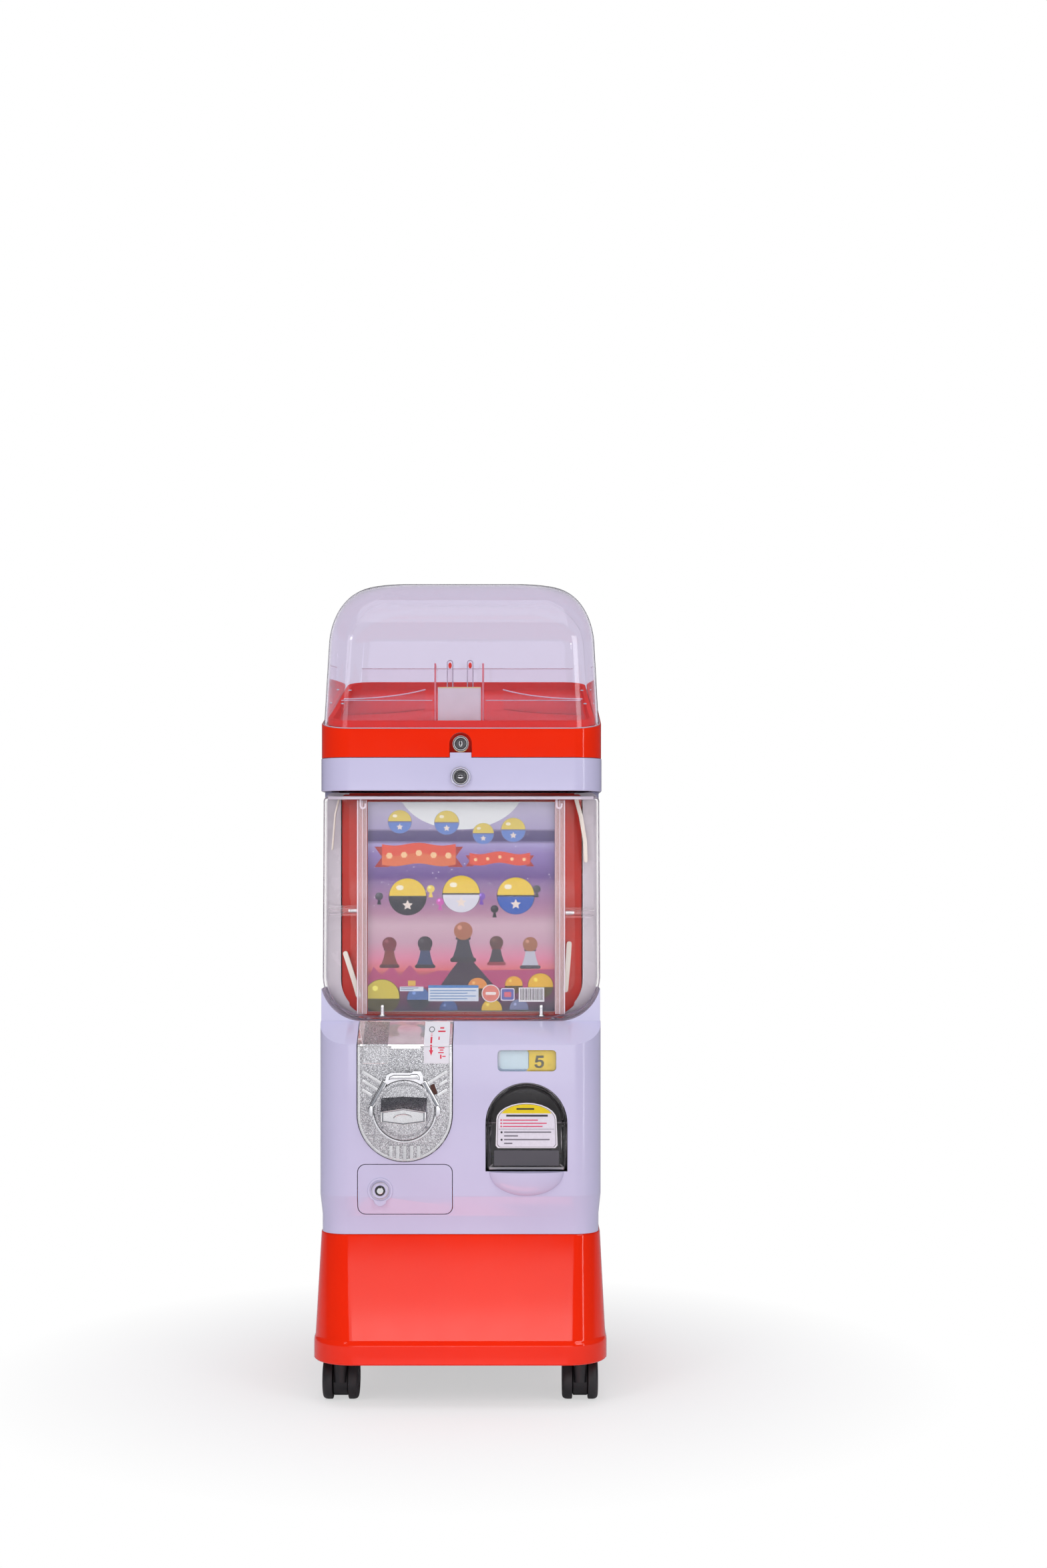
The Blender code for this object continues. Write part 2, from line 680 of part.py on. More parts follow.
def make_faceplate():
    """The cast plate on the front face and the ledge, with the raised ring round the knob."""
    slope = (LEDGE_HIGH - LEDGE_LOW) / (COVER_Y - FRONT_Y)
    front, back, end = -0.1885, -0.1845, COVER_Y - 0.0016
    outer, inner = LEDGE_LOW + 0.0015, LEDGE_LOW - 0.0032
    side = [(front, 0.420), (back, 0.420), (back, inner + slope * (back - FRONT_Y))]
    side += [(end, inner + slope * (end - FRONT_Y)), (end, outer + slope * (end - FRONT_Y))]
    side += [(front, outer + slope * (front - FRONT_Y))]
    tongue = plate("faceplate_tongue", [side], "YZ", KNOB_X - FACEPLATE_HALF, KNOB_X + FACEPLATE_HALF)
    centre = (KNOB_X, KNOB_Z)
    shaft_hole = circle(centre, 0.0058, 16)
    face = plate("coin_faceplate", [faceplate_outline(0, 0.423), shaft_hole], "XZ", front, back, "cast_zinc")
    ring = arc(centre, 0.0435, -16, 8, 3) + arc(centre, 0.0465, 57, 123, 8)
    ring += arc(centre, 0.0435, 172, 196, 3) + arc(centre, 0.0395, 202, 338, 14)
    guard = plate("knob_ring", [ring, circle(centre, 0.0362, 32)], "XZ", -0.1970, -0.1880)
    slot = box("coin_slot", (KNOB_X - 0.0135, -0.2, KNOB_Z + 0.0395), (KNOB_X + 0.0135, -0.18, KNOB_Z + 0.0422))
    return cut(join(face, tongue, guard), slot)


def shaft_rod(name, x, z, start, end, radius, slot=None, sides=16):
    """A bar that runs from front to back."""
    return rod(name, (x, start, z), (x, end, z), radius, slot, sides)


def make_knob():
    disc = shaft_rod("knob", KNOB_X, KNOB_Z, -0.1970, -0.1889, 0.0354, "chrome", 32)
    grip = [(-0.0265, -0.0045), (-0.0215, -0.0098), (0.0215, -0.0098), (0.0265, -0.0045)]
    grip += [(-u, -v) for u, v in grip]
    outline = [(KNOB_X + u, KNOB_Z + v) for u, v in grip]
    return join(disc, plate("grip", [outline], "XZ", -0.2200, -0.1960))


def make_knob_train():
    """The shaft behind the knob, the wheel that needs a coin to turn, and the first gear."""
    shaft = shaft_rod("knob_shaft", KNOB_X, KNOB_Z, -0.1886, -0.0920, 0.005, "steel")
    wheel = shaft_rod("coin_wheel", KNOB_X, KNOB_Z, -0.1795, -0.1755, 0.033, "cast_zinc", 32)
    notches = [shaft_rod("wheel_bore", KNOB_X, KNOB_Z, -0.19, -0.17, 0.0056)]
    for k in range(3):
        a = math.radians(90 + 120 * k)
        x, z = KNOB_X + 0.033 * math.cos(a), KNOB_Z + 0.033 * math.sin(a)
        notches.append(shaft_rod(f"coin_notch_{k + 1}", x, z, -0.19, -0.17, 0.0125))
    wheel = cut(wheel, *notches)
    toward = math.degrees(math.atan2(TRANSFER_Z - KNOB_Z, ROTOR_X - KNOB_X))
    centre = (KNOB_X, KNOB_Z)
    teeth = gear(centre, SPUR_TEETH, SPUR_RADIUS, 0.0032, 0.0042, 0.42, toward)
    spur = plate("drive_gear", [teeth, circle(centre, 0.0056, 16)], "XZ", -0.112, -0.104, "natural_nylon")
    return [shaft, wheel, spur]


def make_transfer_gears():
    """A spur gear and a pinion on one shaft. The pinion drives the rotor's crown ring."""
    centre = (ROTOR_X, TRANSFER_Z)
    away = math.degrees(math.atan2(KNOB_Z - TRANSFER_Z, KNOB_X - ROTOR_X))
    teeth = gear(centre, SPUR_TEETH, SPUR_RADIUS, 0.0032, 0.0042, 0.42, away + 180 / SPUR_TEETH)
    spur = plate("transfer_gears", [teeth], "XZ", -0.112, -0.104, "natural_nylon")
    teeth = gear(centre, PINION_TEETH, PINION_RADIUS, 0.0028, 0.0036, 0.40, 90)
    pinion = plate("pinion", [teeth], "XZ", -0.0575, -0.0455)
    shaft = shaft_rod("transfer_shaft", *centre, -0.1135, -0.0448, 0.0042)
    return join(spur, pinion, shaft)


def make_mech_housing():
    x, z = KNOB_X, KNOB_Z
    housing = box("mech_housing", (x - 0.047, -0.1838, 0.300), (x + 0.047, -0.1260, 0.406), "cast_zinc")
    hollow = box("mech_hollow", (x - 0.044, -0.20, 0.303), (x + 0.044, -0.1290, 0.403))
    bore = shaft_rod("housing_bore", x, z, -0.14, -0.11, 0.0058)
    outlet = box("coin_outlet", (x - 0.012, -0.1808, 0.29), (x + 0.012, -0.1710, 0.31))
    housing = cut(housing, hollow, bore, outlet)
    outline = [(-0.112, 0.300), (0.004, 0.300), (0.004, 0.418), (-0.112, 0.418)]
    holes = [circle((x, z), 0.0058, 16), circle((ROTOR_X, TRANSFER_Z), 0.0048, 16)]
    bracket = plate("gear_bracket", [outline, *holes], "XZ", -0.0985, -0.0955, "steel")
    legs = [
        box("leg_upper", (-0.112, -0.1256, 0.388), (-0.106, -0.0980, 0.400)),
        box("leg_lower", (-0.0260, -0.1256, 0.300), (-0.0195, -0.0980, 0.308)),
    ]
    return [housing, join(bracket, *legs)]


def make_cash_route():
    """The sloping coin tube and the box that it fills."""
    rings = []
    for front, back, z in ((-0.1802, -0.1716, 0.2974), (-0.1500, -0.1414, 0.2886)):
        left, right = KNOB_X - 0.0125, KNOB_X + 0.0125
        rings.append([(left, front, z), (right, front, z), (right, back, z), (left, back, z)])
    tube_skin = thicken(loft("coin_chute", rings[::-1], "natural_nylon"), 0.0015, outward=True)
    tray = box("cash_box", (-0.1150, -0.1560, 0.2290), (-0.0130, -0.0600, 0.2830), "dark_plastic")
    hollow = box("cash_hollow", (-0.1130, -0.1540, 0.2310), (-0.0150, -0.0620, 0.30))
    return [tube_skin, cut(tray, hollow)]


def make_price_window():
    lens = plate(
        "price_window", [round_box((0.0454, 0.3970), (0.1138, 0.4210), 0.0045)], "XZ",
        -0.1866, -0.1850, "clear_plastic",
    )
    card = box("price_card", (0.0440, -0.1805, 0.3955), (0.1152, -0.1799, 0.4225), "price_card")
    return [lens, card]


# Locks: a barrel held in a wall, and a plug that turns in it with a cam at its back end.


def make_barrel(name, lock, front, head_radius, neck, back, head_sides=32):
    x, z = lock
    head = shaft_rod(name, x, z, front, neck, head_radius, "chrome", head_sides)
    stem = shaft_rod(name + "_stem", x, z, neck - 0.001, back, 0.0084, sides=24)
    bore = shaft_rod(name + "_bore", x, z, front - 0.002, back + 0.002, 0.0062, sides=24)
    return cut(join(head, stem), bore)


def make_plug(name, lock, front, back, direction, reach):
    """direction is the way that the cam points when unlocked: (x, z)."""
    x, z = lock
    plug = shaft_rod(name, x, z, front, back, 0.0058, "chrome", 24)
    u, w = direction
    side = Vector((abs(w), 0, abs(u))) * 0.004
    tip = Vector((u, 0, w)) * reach
    start = Vector((x, back - 0.002, z)) - side
    end = Vector((x, back + 0.0003, z)) + side
    low = Vector([min(a, a + b) for a, b in zip(start, tip)])
    high = Vector([max(a, a + b) for a, b in zip(end, tip)])
    return join(plug, box(name + "_cam", low, high))


# The lid: collar, tray, hood and what stands in it.


def lid_top(y):
    return LID_FRONT_TOP + LID_SLOPE * (y - BAND_Y)


def above_lid(rise):
    return lambda y: lid_top(y) + rise


def lid_plan(inset):
    return plan(0.170 - inset, BAND_Y + inset, 0.210 - inset, max(0.039 - inset, 0.012))


def make_collar():
    rings = [
        lift(lid_plan(0), BAND_TOP + 0.0002),
        lift(lid_plan(0), lid_top),
        lift(lid_plan(0.009), lid_top),
    ]
    collar = bake(thicken(loft("lid_collar", rings, "red_plastic")))
    x, z = LID_LOCK
    recess = plate("recess", [arch(x, 0.0152, BAND_TOP + 0.0004, z)], "XZ", -0.1470, -0.1355)
    hollow = plate("recess_hollow", [arch(x, 0.0134, 0.760, z)], "XZ", -0.16, -0.1380)
    hole = rod("lid_lock_hole", (x, -0.15, z), (x, -0.13, z), 0.0088)
    return cut(join(collar, recess), hollow, hole)


def make_tray():
    rings = [
        lift(lid_plan(0.0075), above_lid(GAP)),
        lift(lid_plan(0.0075), above_lid(0.008)),
        lift(lid_plan(0.0140), above_lid(0.008)),
        lift(lid_plan(0.0150), above_lid(-0.002)),
    ]
    return thicken(loft("lid_tray", rings, "red_plastic", cap_last=True), 0.0022)


def make_hood():
    """A dome that leans in, then turns over in an elliptical corner to a flat top."""
    base_part = 0.55

    def ring(rise, lean, turn):
        side = lean + 0.055 * turn
        front = BAND_Y + 0.003 + 2 * lean + 0.070 * turn
        outline = plan(0.1670 - side, front, 0.207 - side, 0.036 + 0.012 * turn)
        return lift(outline, lambda y: (1 - rise) * (lid_top(y) + 0.0012) + rise * HOOD_TOP)

    rings = [ring(0, 0, 0)]
    for k in range(7):
        angle = math.radians(15 * k)
        rise = base_part + (1 - base_part) * math.sin(angle)
        rings.append(ring(rise, 0.009 * rise, 1 - math.cos(angle)))
    return thicken(loft("hood", rings, "clear_plastic", cap_last=True), 0.0025)


def make_insert():
    """The clear insert on the tray: a thin floor with upright walls for the samples."""
    floor = [lift(lid_plan(0.0172), above_lid(-0.0016)), lift(lid_plan(0.0172), above_lid(-0.0002))]
    insert = loft("display_insert", floor, "clear_plastic", cap_first=True, cap_last=True)
    foot = -0.0010
    walls = []
    for name, x0, x1 in (("front_left", -0.1450, -0.0350), ("front_right", 0.0296, 0.1450)):
        walls.append(box(name, (x0, -0.1255, lid_top(-0.1235) + foot), (x1, -0.1235, 0.8400)))
    walls.append(box("rear_wall", (-0.143, 0.1850, lid_top(0.187) + foot), (0.143, 0.1870, 0.906)))
    for name, x in (("left_cheek", -0.0325), ("right_cheek", 0.0255)):
        side = [(-0.1220, lid_top(-0.122) + foot), (-0.0700, lid_top(-0.07) + foot)]
        walls.append(plate(name, [side + [(-0.0700, 0.880), (-0.1220, 0.885)]], "YZ", x, x + 0.002))
    for name, side in (("left_wing", -1), ("right_wing", 1)):
        path = [(side * x, y) for x, y in arc((-0.150, 0.100), 0.135, 270, 318, 6)]
        path = path if side > 0 else path[::-1]
        wing = [lift(path, above_lid(foot)), lift(path, lambda y: lid_top(y) + 0.020 + 0.12 * (y + 0.03))]
        walls.append(bake(thicken(loft(name, wing, closed=False), 0.002)))
    return join(insert, *walls)


def make_sample_pieces():
    card = box("sample_card", (-0.0285, -0.1196, 0.8125), (0.0239, -0.1188, 0.8565), "cream_card")
    foot = lid_top(-0.0975) + 0.0003
    prongs = box("display_prongs", (-0.0178, -0.1000, foot), (0.0138, -0.0975, foot + 0.004), "clear_plastic")
    fingers = []
    for name, x in (("prong_left", -0.0143), ("prong_right", 0.0103)):
        outline = arch(x, 0.0034, foot + 0.001, 0.8875, 8)
        fingers.append(plate(name, [outline], "XZ", -0.0998, -0.0977))
    return [card, join(prongs, *fingers)]


def make_hinge():
    """A knuckled strip on the back of the band and the collar, and its pin."""
    _, y, z = LID_AXIS
    face = BAND_REAR_Y + GAP
    parts = {
        "hinge_leaf_fixed": (z - 0.024, z - 0.0047, z, ((-0.060, -0.0204), (0.0204, 0.060))),
        "hinge_leaf_moving": (z + 0.0047, z + 0.028, z, ((-0.0200, 0.0200),)),
    }
    leaves = []
    for name, (low, high, knuckle_z, spans) in parts.items():
        leaf = box(name, (-0.060, face, low), (0.060, face + 0.0016, high), "steel")
        extra = []
        for k, (x0, x1) in enumerate(spans):
            bridge_low, bridge_high = min(high - 0.001, z), max(low + 0.001, z)
            if low > z:
                bridge_low, bridge_high = z, low + 0.001
            extra.append(box(f"{name}_bridge_{k}", (x0, face, bridge_low), (x1, face + 0.0016, bridge_high)))
            extra.append(rod(f"{name}_knuckle_{k}", (x0, y, knuckle_z), (x1, y, knuckle_z), 0.004, sides=16))
        bore = rod(name + "_bore", (-0.07, y, z), (0.07, y, z), 0.0022, sides=12)
        leaves.append(cut(join(leaf, *extra), bore))
    pin = rod("hinge_pin", (-0.061, y, z), (0.061, y, z), 0.0018, "steel", sides=12)
    return leaves[0], pin, leaves[1]


def make_lid_keeper():
    """The staple on the band that the lid's cam turns into."""
    base = box("lid_keeper", (0.0100, -0.1456, 0.7645), (0.0260, -0.1100, 0.7668), "steel")
    parts = [
        box("keeper_front", (0.0150, -0.1235, 0.766), (0.0200, -0.1215, 0.7965)),
        box("keeper_rear", (0.0150, -0.1145, 0.766), (0.0200, -0.1125, 0.7965)),
        box("keeper_top", (0.0150, -0.1235, 0.7930), (0.0200, -0.1125, 0.7965)),
    ]
    return join(base, *parts)


# The clear display cover and what rides on it.


def make_cover():
    def body(name, inset, back, slot=None):
        half = PANEL_HALF - inset
        footprint = round_box((-half, COVER_Y + inset), (half, back), CORNER - inset, 0.001)
        low, high = LEDGE_HIGH + 0.001 + inset, COVER_TOP - inset
        upright = plate(name, [footprint], "XY", low - 0.01, high + 0.01, slot)
        face = round_box((-half, low), (half, high), 0.050 - inset, 0.006)
        return keep(upright, plate(name + "_face", [face], "XZ", -0.17, -0.05))

    shell = body("display_cover", 0.0, -0.1005, "clear_plastic")
    swing_room = box("swing_room", (-0.124, -0.1165, 0.44), (0.124, -0.09, 0.74))
    shell = cut(shell, body("cover_hollow", WALL, -0.060), swing_room)
    lip = box("cover_lip", (-0.015, -0.1200, COVER_TOP - 0.001), (0.015, -0.1178, COVER_TOP + 0.0035))
    return smooth(join(shell, lip))


def make_poster_holder():
    """A clear plate with folded side channels, the poster behind it, and two stand-off tubes."""
    profile = [(-0.126, -0.112), (-0.126, -0.130), (-0.1155, -0.130), (-0.1155, -0.1245)]
    profile += [(-x, y) for x, y in reversed(profile)]
    rings = [lift(profile, 0.4600), lift(profile, 0.7195)]
    holder = thicken(loft("poster_holder", rings, "clear_plastic", closed=False), 0.0018)
    poster = box("poster", (-0.1134, -0.1222, 0.4630), (0.1134, -0.1218, 0.7170), "printed_card")
    tubes = []
    for name, side, z in (("standoff_left", -1, 0.5850), ("standoff_right", 1, 0.5825)):
        start, end = (side * 0.1602, -0.1175, z), (side * 0.1264, -0.1175, z)
        tubes.append(tube(name, start, end, 0.0062, 0.0026, "clear_plastic", 16))
    return [holder, poster, *tubes]


# Door and casters.


def make_cash_door():
    door = front_skin("cash_door", "white_plastic")
    door = keep(door, plate("door_shape", [door_outline()], "XZ", -0.21, -0.16))
    x, z = CASH_LOCK
    hole = shaft_rod("cash_lock_hole", x, z, -0.2, -0.17, 0.0088, sides=24)
    return cut(door, hole)


def caster_places():
    return [(x, y) for y in (CASTER_FRONT_Y, CASTER_REAR_Y) for x in (-CASTER_X, CASTER_X)]


def make_caster(name, x, y):
    """A stem and hood over a pair of wheels on one axle, which trails behind the stem."""
    axle_y, axle_z = y + CASTER_TRAIL, WHEEL_RADIUS
    fork = rod(name + "_fork", (x - 0.0072, axle_y, axle_z), (x + 0.0072, axle_y, axle_z), 0.0225, "dark_plastic")
    parts = [
        rod("boss", (x, y, 0.024), (x, y, 0.0555), 0.0085, sides=20),
        rod("stem", (x, y, 0.050), (x, y, 0.068), 0.0045, sides=16),
    ]
    bore = rod("axle_bore", (x - 0.02, axle_y, axle_z), (x + 0.02, axle_y, axle_z), 0.0036, sides=16)
    fork = cut(join(fork, *parts), bore)
    wheels = rod(name + "_wheels", (x - 0.0214, axle_y, axle_z), (x + 0.0214, axle_y, axle_z), 0.003, "dark_plastic")
    discs = []
    for side in (-1, 1):
        inner, rim, outer = x + side * 0.0092, x + side * 0.0185, x + side * 0.0215
        start, middle, end = ((s, axle_y, axle_z) for s in (inner, rim, outer))
        discs.append(rod("tread", start, middle, WHEEL_RADIUS, sides=28))
        shoulder = Vector(middle) - Vector((side * 0.001, 0, 0))
        discs.append(rod("cap", shoulder, end, WHEEL_RADIUS - 0.0004, sides=28, end_radius=0.018))
    return fork, join(wheels, *discs)


# Assembly.


def build():
    make_base()
    make_lower_cabinet()
    make_front_panel()
    make_upper_cabinet()
    make_top_band()
    make_backing()
    make_hopper()
    make_deck()
    make_capsule_chute()
    make_dispense_bin()
    make_faceplate()
    make_mech_housing()
    make_cash_route()
    make_price_window()
    make_barrel("display_lock_barrel", DISPLAY_LOCK, -0.1530, 0.0122, -0.1494, -0.1260)
    make_lid_keeper()
    fixed_leaf, pin, moving_leaf = make_hinge()

    lid_pieces = [make_collar(), make_tray(), make_hood(), make_insert(), *make_sample_pieces(), moving_leaf]
    lid_pieces.append(make_barrel("lid_lock_barrel", LID_LOCK, -0.1475, 0.0102, -0.1384, -0.1200))
    lid = make_body("body_lid", LID_AXIS, lid_pieces)
    plug = make_plug("lid_lock_plug", LID_LOCK, -0.1479, -0.1170, (0, -1), 0.021)
    make_body("body_lid_lock", (LID_LOCK[0], -0.1479, LID_LOCK[1]), [plug], lid)

    make_body("body_display_cover", COVER_AXIS, [make_cover(), *make_poster_holder()])
    plug = make_plug("display_lock_plug", DISPLAY_LOCK, -0.1534, -0.1215, (1, 0), 0.0205)
    make_body("body_display_lock", (DISPLAY_LOCK[0], -0.1534, DISPLAY_LOCK[1]), [plug])

    make_body("body_knob", (KNOB_X, -0.2200, KNOB_Z), [make_knob(), *make_knob_train()])
    make_body("body_transfer", (ROTOR_X, -0.1135, TRANSFER_Z), [make_transfer_gears()])
    make_body("body_rotor", (ROTOR_X, ROTOR_Y, 0.4080), [make_rotor(), make_agitator()])
    make_body("body_flap", FLAP_AXIS, [make_flap()])

    door_lock = make_barrel("cash_lock_barrel", CASH_LOCK, -0.1900, 0.0105, -0.1874, -0.1650)
    door = make_body("body_cash_door", DOOR_AXIS, [make_cash_door(), door_lock])
    plug = make_plug("cash_lock_plug", CASH_LOCK, -0.1904, -0.1612, (0, 1), 0.0305)
    make_body("body_cash_lock", (CASH_LOCK[0], -0.1904, CASH_LOCK[1]), [plug], door)

    names = ("caster_front_left", "caster_front_right", "caster_rear_left", "caster_rear_right")
    for name, (x, y) in zip(names, caster_places()):
        fork, wheels = make_caster(name, x, y)
        swivel = make_body("body_" + name, (x, y, 0.0555), [fork])
        make_body("body_" + name + "_wheels", (x, y + CASTER_TRAIL, WHEEL_RADIUS), [wheels], swivel)


clear_scene()
MODEL = new_collection("capsule_toy_vendor")
CUTTERS = new_collection("cutters")
MATERIALS = {slot: make_material(slot) for slot in FINISHES}
build()
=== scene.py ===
import json
import math
import random

import bmesh
import bpy
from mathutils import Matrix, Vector


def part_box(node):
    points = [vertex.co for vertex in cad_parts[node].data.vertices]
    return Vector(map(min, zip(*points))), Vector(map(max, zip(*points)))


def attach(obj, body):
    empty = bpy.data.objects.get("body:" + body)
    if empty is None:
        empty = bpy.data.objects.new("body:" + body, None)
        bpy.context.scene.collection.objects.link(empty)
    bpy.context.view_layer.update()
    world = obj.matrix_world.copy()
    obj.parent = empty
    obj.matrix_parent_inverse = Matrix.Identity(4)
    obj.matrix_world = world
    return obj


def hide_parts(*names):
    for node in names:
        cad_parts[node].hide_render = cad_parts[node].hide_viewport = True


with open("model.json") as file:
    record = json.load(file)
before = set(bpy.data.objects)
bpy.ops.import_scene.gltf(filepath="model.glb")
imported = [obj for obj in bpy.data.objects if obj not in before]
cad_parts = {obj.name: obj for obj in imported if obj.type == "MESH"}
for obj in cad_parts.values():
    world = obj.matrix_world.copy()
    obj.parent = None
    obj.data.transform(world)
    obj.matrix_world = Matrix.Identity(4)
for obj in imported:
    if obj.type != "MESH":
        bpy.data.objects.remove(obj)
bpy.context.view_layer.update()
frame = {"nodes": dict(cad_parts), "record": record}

# Driving dimensions in metres, most of them as the CAD model has them, and one angle in degrees.

FRONT_Y = -0.187
COVER_Y = -0.145
BAND_Y = -0.149
LEDGE_LOW = 0.428
LEDGE_HIGH = 0.453
LEDGE_SLOPE = (LEDGE_HIGH - LEDGE_LOW) / (COVER_Y - FRONT_Y)
COVER_TOP = 0.724
LID_FRONT_TOP = 0.804
LID_SLOPE = 0.22
HOOD_TOP = 0.989
WALL = 0.003
PANEL_HALF = 0.168
CORNER = 0.037
KNOB = (-0.065, 0.3515)
CHUTE_X = 0.079
FLAP_ARC_Z = 0.3345
FACEPLATE_HALF = 0.056
FACEPLATE_ARC_Z = 0.346
FACE_FRONT = -0.1885
CABINET_REAR_Y = 0.208
LID_LOCK = (0.0, 0.7865)
DISPLAY_LOCK = (0.0, 0.7465)
CASH_LOCK = (-0.0940, 0.2555)
LAYER = 0.00005
EDGE_ANGLE = 38
CABINET_LOW = 0.2024
BACKING_LOW = 0.4534
BACKING_HIGH = 0.7285
HOLDER_FRONT = -0.1315
PRONG_X = (-0.0143, 0.0103)

# Node materials.


def new_material(name):
    made = bpy.data.materials.new(name)
    made.use_nodes = True
    tree = made.node_tree
    return made, tree, tree.nodes["Principled BSDF"]


def add(tree, kind, settings=(), **inputs):
    """A node with its settings and its unlinked inputs."""
    node = tree.nodes.new(kind)
    for key, value in dict(settings).items():
        setattr(node, key, value)
    for key, value in inputs.items():
        node.inputs[key.replace("_", " ")].default_value = value
    return node


def noise(tree, scale, detail=3.0, stretch=(1, 1, 1)):
    """Noise in object space, stretched along an axis for brushing and flow marks."""
    place = add(tree, "ShaderNodeTexCoord")
    scaled = add(tree, "ShaderNodeMapping", Scale=stretch)
    made = add(tree, "ShaderNodeTexNoise", Scale=scale, Detail=detail, Roughness=0.55)
    tree.links.new(place.outputs["Object"], scaled.inputs["Vector"])
    tree.links.new(scaled.outputs["Vector"], made.inputs["Vector"])
    return made.outputs["Fac"]


def spread(tree, source, low, high, start=0.3, end=0.7):
    made = add(tree, "ShaderNodeMapRange")
    for key, value in (("From Min", start), ("From Max", end), ("To Min", low), ("To Max", high)):
        made.inputs[key].default_value = value
    tree.links.new(source, made.inputs["Value"])
    return made.outputs["Result"]


def tinted(tree, source, first, second):
    """A drift from one colour to another where the source is near its middle."""
    ramp = add(tree, "ShaderNodeValToRGB")
    for element, colour, position in zip(ramp.color_ramp.elements, (first, second), (0.32, 0.68)):
        element.color = (*colour, 1)
        element.position = position
    tree.links.new(source, ramp.inputs["Fac"])
    return ramp.outputs["Color"]


def bumped(tree, shader, source, distance, edge=0.0):
    bump = add(tree, "ShaderNodeBump", Strength=1.0, Distance=distance)
    tree.links.new(source, bump.inputs["Height"])
    if edge:
        bevel = add(tree, "ShaderNodeBevel", {"samples": 4}, Radius=edge)
        tree.links.new(bevel.outputs["Normal"], bump.inputs["Normal"])
    tree.links.new(bump.outputs["Normal"], shader.inputs["Normal"])


def plastic(name, first, second, rough, coat=0.0, shine=0.5, grain=(900, 0.00002), edge=0.0006, patch=7.0):
    """Moulded plastic: slow colour drift, uneven gloss, fine grain and softened edges."""
    made, tree, shader = new_material(name)
    tree.links.new(tinted(tree, noise(tree, patch, 4), first, second), shader.inputs["Base Color"])
    tree.links.new(spread(tree, noise(tree, 34, 5), rough * 0.8, rough * 1.25), shader.inputs["Roughness"])
    gloss = {"Coat Weight": coat, "Coat Roughness": 0.04, "IOR": 1.49, "Specular IOR Level": shine}
    for socket, value in gloss.items():
        shader.inputs[socket].default_value = value
    bumped(tree, shader, noise(tree, grain[0], 2), grain[1], edge=edge)
    return made


def metal(name, first, second, rough, grain=(500, 0.00003), stretch=(1, 1, 1), edge=0.0004):
    made, tree, shader = new_material(name)
    tree.links.new(tinted(tree, noise(tree, 60, 3), first, second), shader.inputs["Base Color"])
    scratched = noise(tree, 120, 5, stretch)
    tree.links.new(spread(tree, scratched, rough * 0.7, rough * 1.4), shader.inputs["Roughness"])
    shader.inputs["Metallic"].default_value = 1.0
    bumped(tree, shader, noise(tree, grain[0], 3, stretch), grain[1], edge=edge)
    return made


def clear(name, colour, rough=0.015, ior=1.45, haze=0.0, coat=0.0):
    """Clear plastic sheet with faint handling marks."""
    made, tree, shader = new_material(name)
    shader.inputs["Base Color"].default_value = (*colour, 1)
    shader.inputs["Transmission Weight"].default_value = 1.0 - haze
    shader.inputs["IOR"].default_value = ior
    shader.inputs["Coat Weight"].default_value = coat
    tree.links.new(spread(tree, noise(tree, 22, 6), rough, rough * 2.2), shader.inputs["Roughness"])
    return made


def printed(name):
    """Ink on card: the colours come from the sheet's own colour attribute."""
    made, tree, shader = new_material(name)
    rough = 0.32
    ink = add(tree, "ShaderNodeVertexColor", {"layer_name": "ink"})
    mix = add(tree, "ShaderNodeMix", {"data_type": "RGBA", "blend_type": "MULTIPLY"})
    mix.inputs["Factor"].default_value = 1.0
    tree.links.new(ink.outputs["Color"], mix.inputs["A"])
    grain = tinted(tree, noise(tree, 420, 3), (0.93, 0.93, 0.93), (1.0, 1.0, 1.0))
    tree.links.new(grain, mix.inputs["B"])
    tree.links.new(mix.outputs["Result"], shader.inputs["Base Color"])
    tree.links.new(spread(tree, noise(tree, 50, 4), rough * 0.85, rough * 1.2), shader.inputs["Roughness"])
    shader.inputs["Specular IOR Level"].default_value = 0.15
    return made


def glitter(name, first, second, rough, cell, depth):
    """Cast metal with a pearskin sparkle: each small cell faces a slightly different way."""
    made, tree, shader = new_material(name)
    place = add(tree, "ShaderNodeTexCoord")
    cells = add(tree, "ShaderNodeTexVoronoi", Scale=cell)
    tree.links.new(place.outputs["Object"], cells.inputs["Vector"])
    shade = add(tree, "ShaderNodeSeparateColor")
    tree.links.new(cells.outputs["Color"], shade.inputs["Color"])
    tree.links.new(tinted(tree, shade.outputs["Red"], first, second), shader.inputs["Base Color"])
    tree.links.new(spread(tree, shade.outputs["Green"], rough * 0.7, rough * 1.4), shader.inputs["Roughness"])
    shader.inputs["Metallic"].default_value = 1.0
    bumped(tree, shader, shade.outputs["Blue"], depth)
    return made


def seen_directly(tree):
    """One for rays that come from the camera or out of clear plastic, and zero for all others."""
    ray = add(tree, "ShaderNodeLightPath")
    seen = add(tree, "ShaderNodeMath", {"operation": "MAXIMUM"})
    tree.links.new(ray.outputs["Is Camera Ray"], seen.inputs[0])
    tree.links.new(ray.outputs["Is Transmission Ray"], seen.inputs[1])
    return seen.outputs[0]


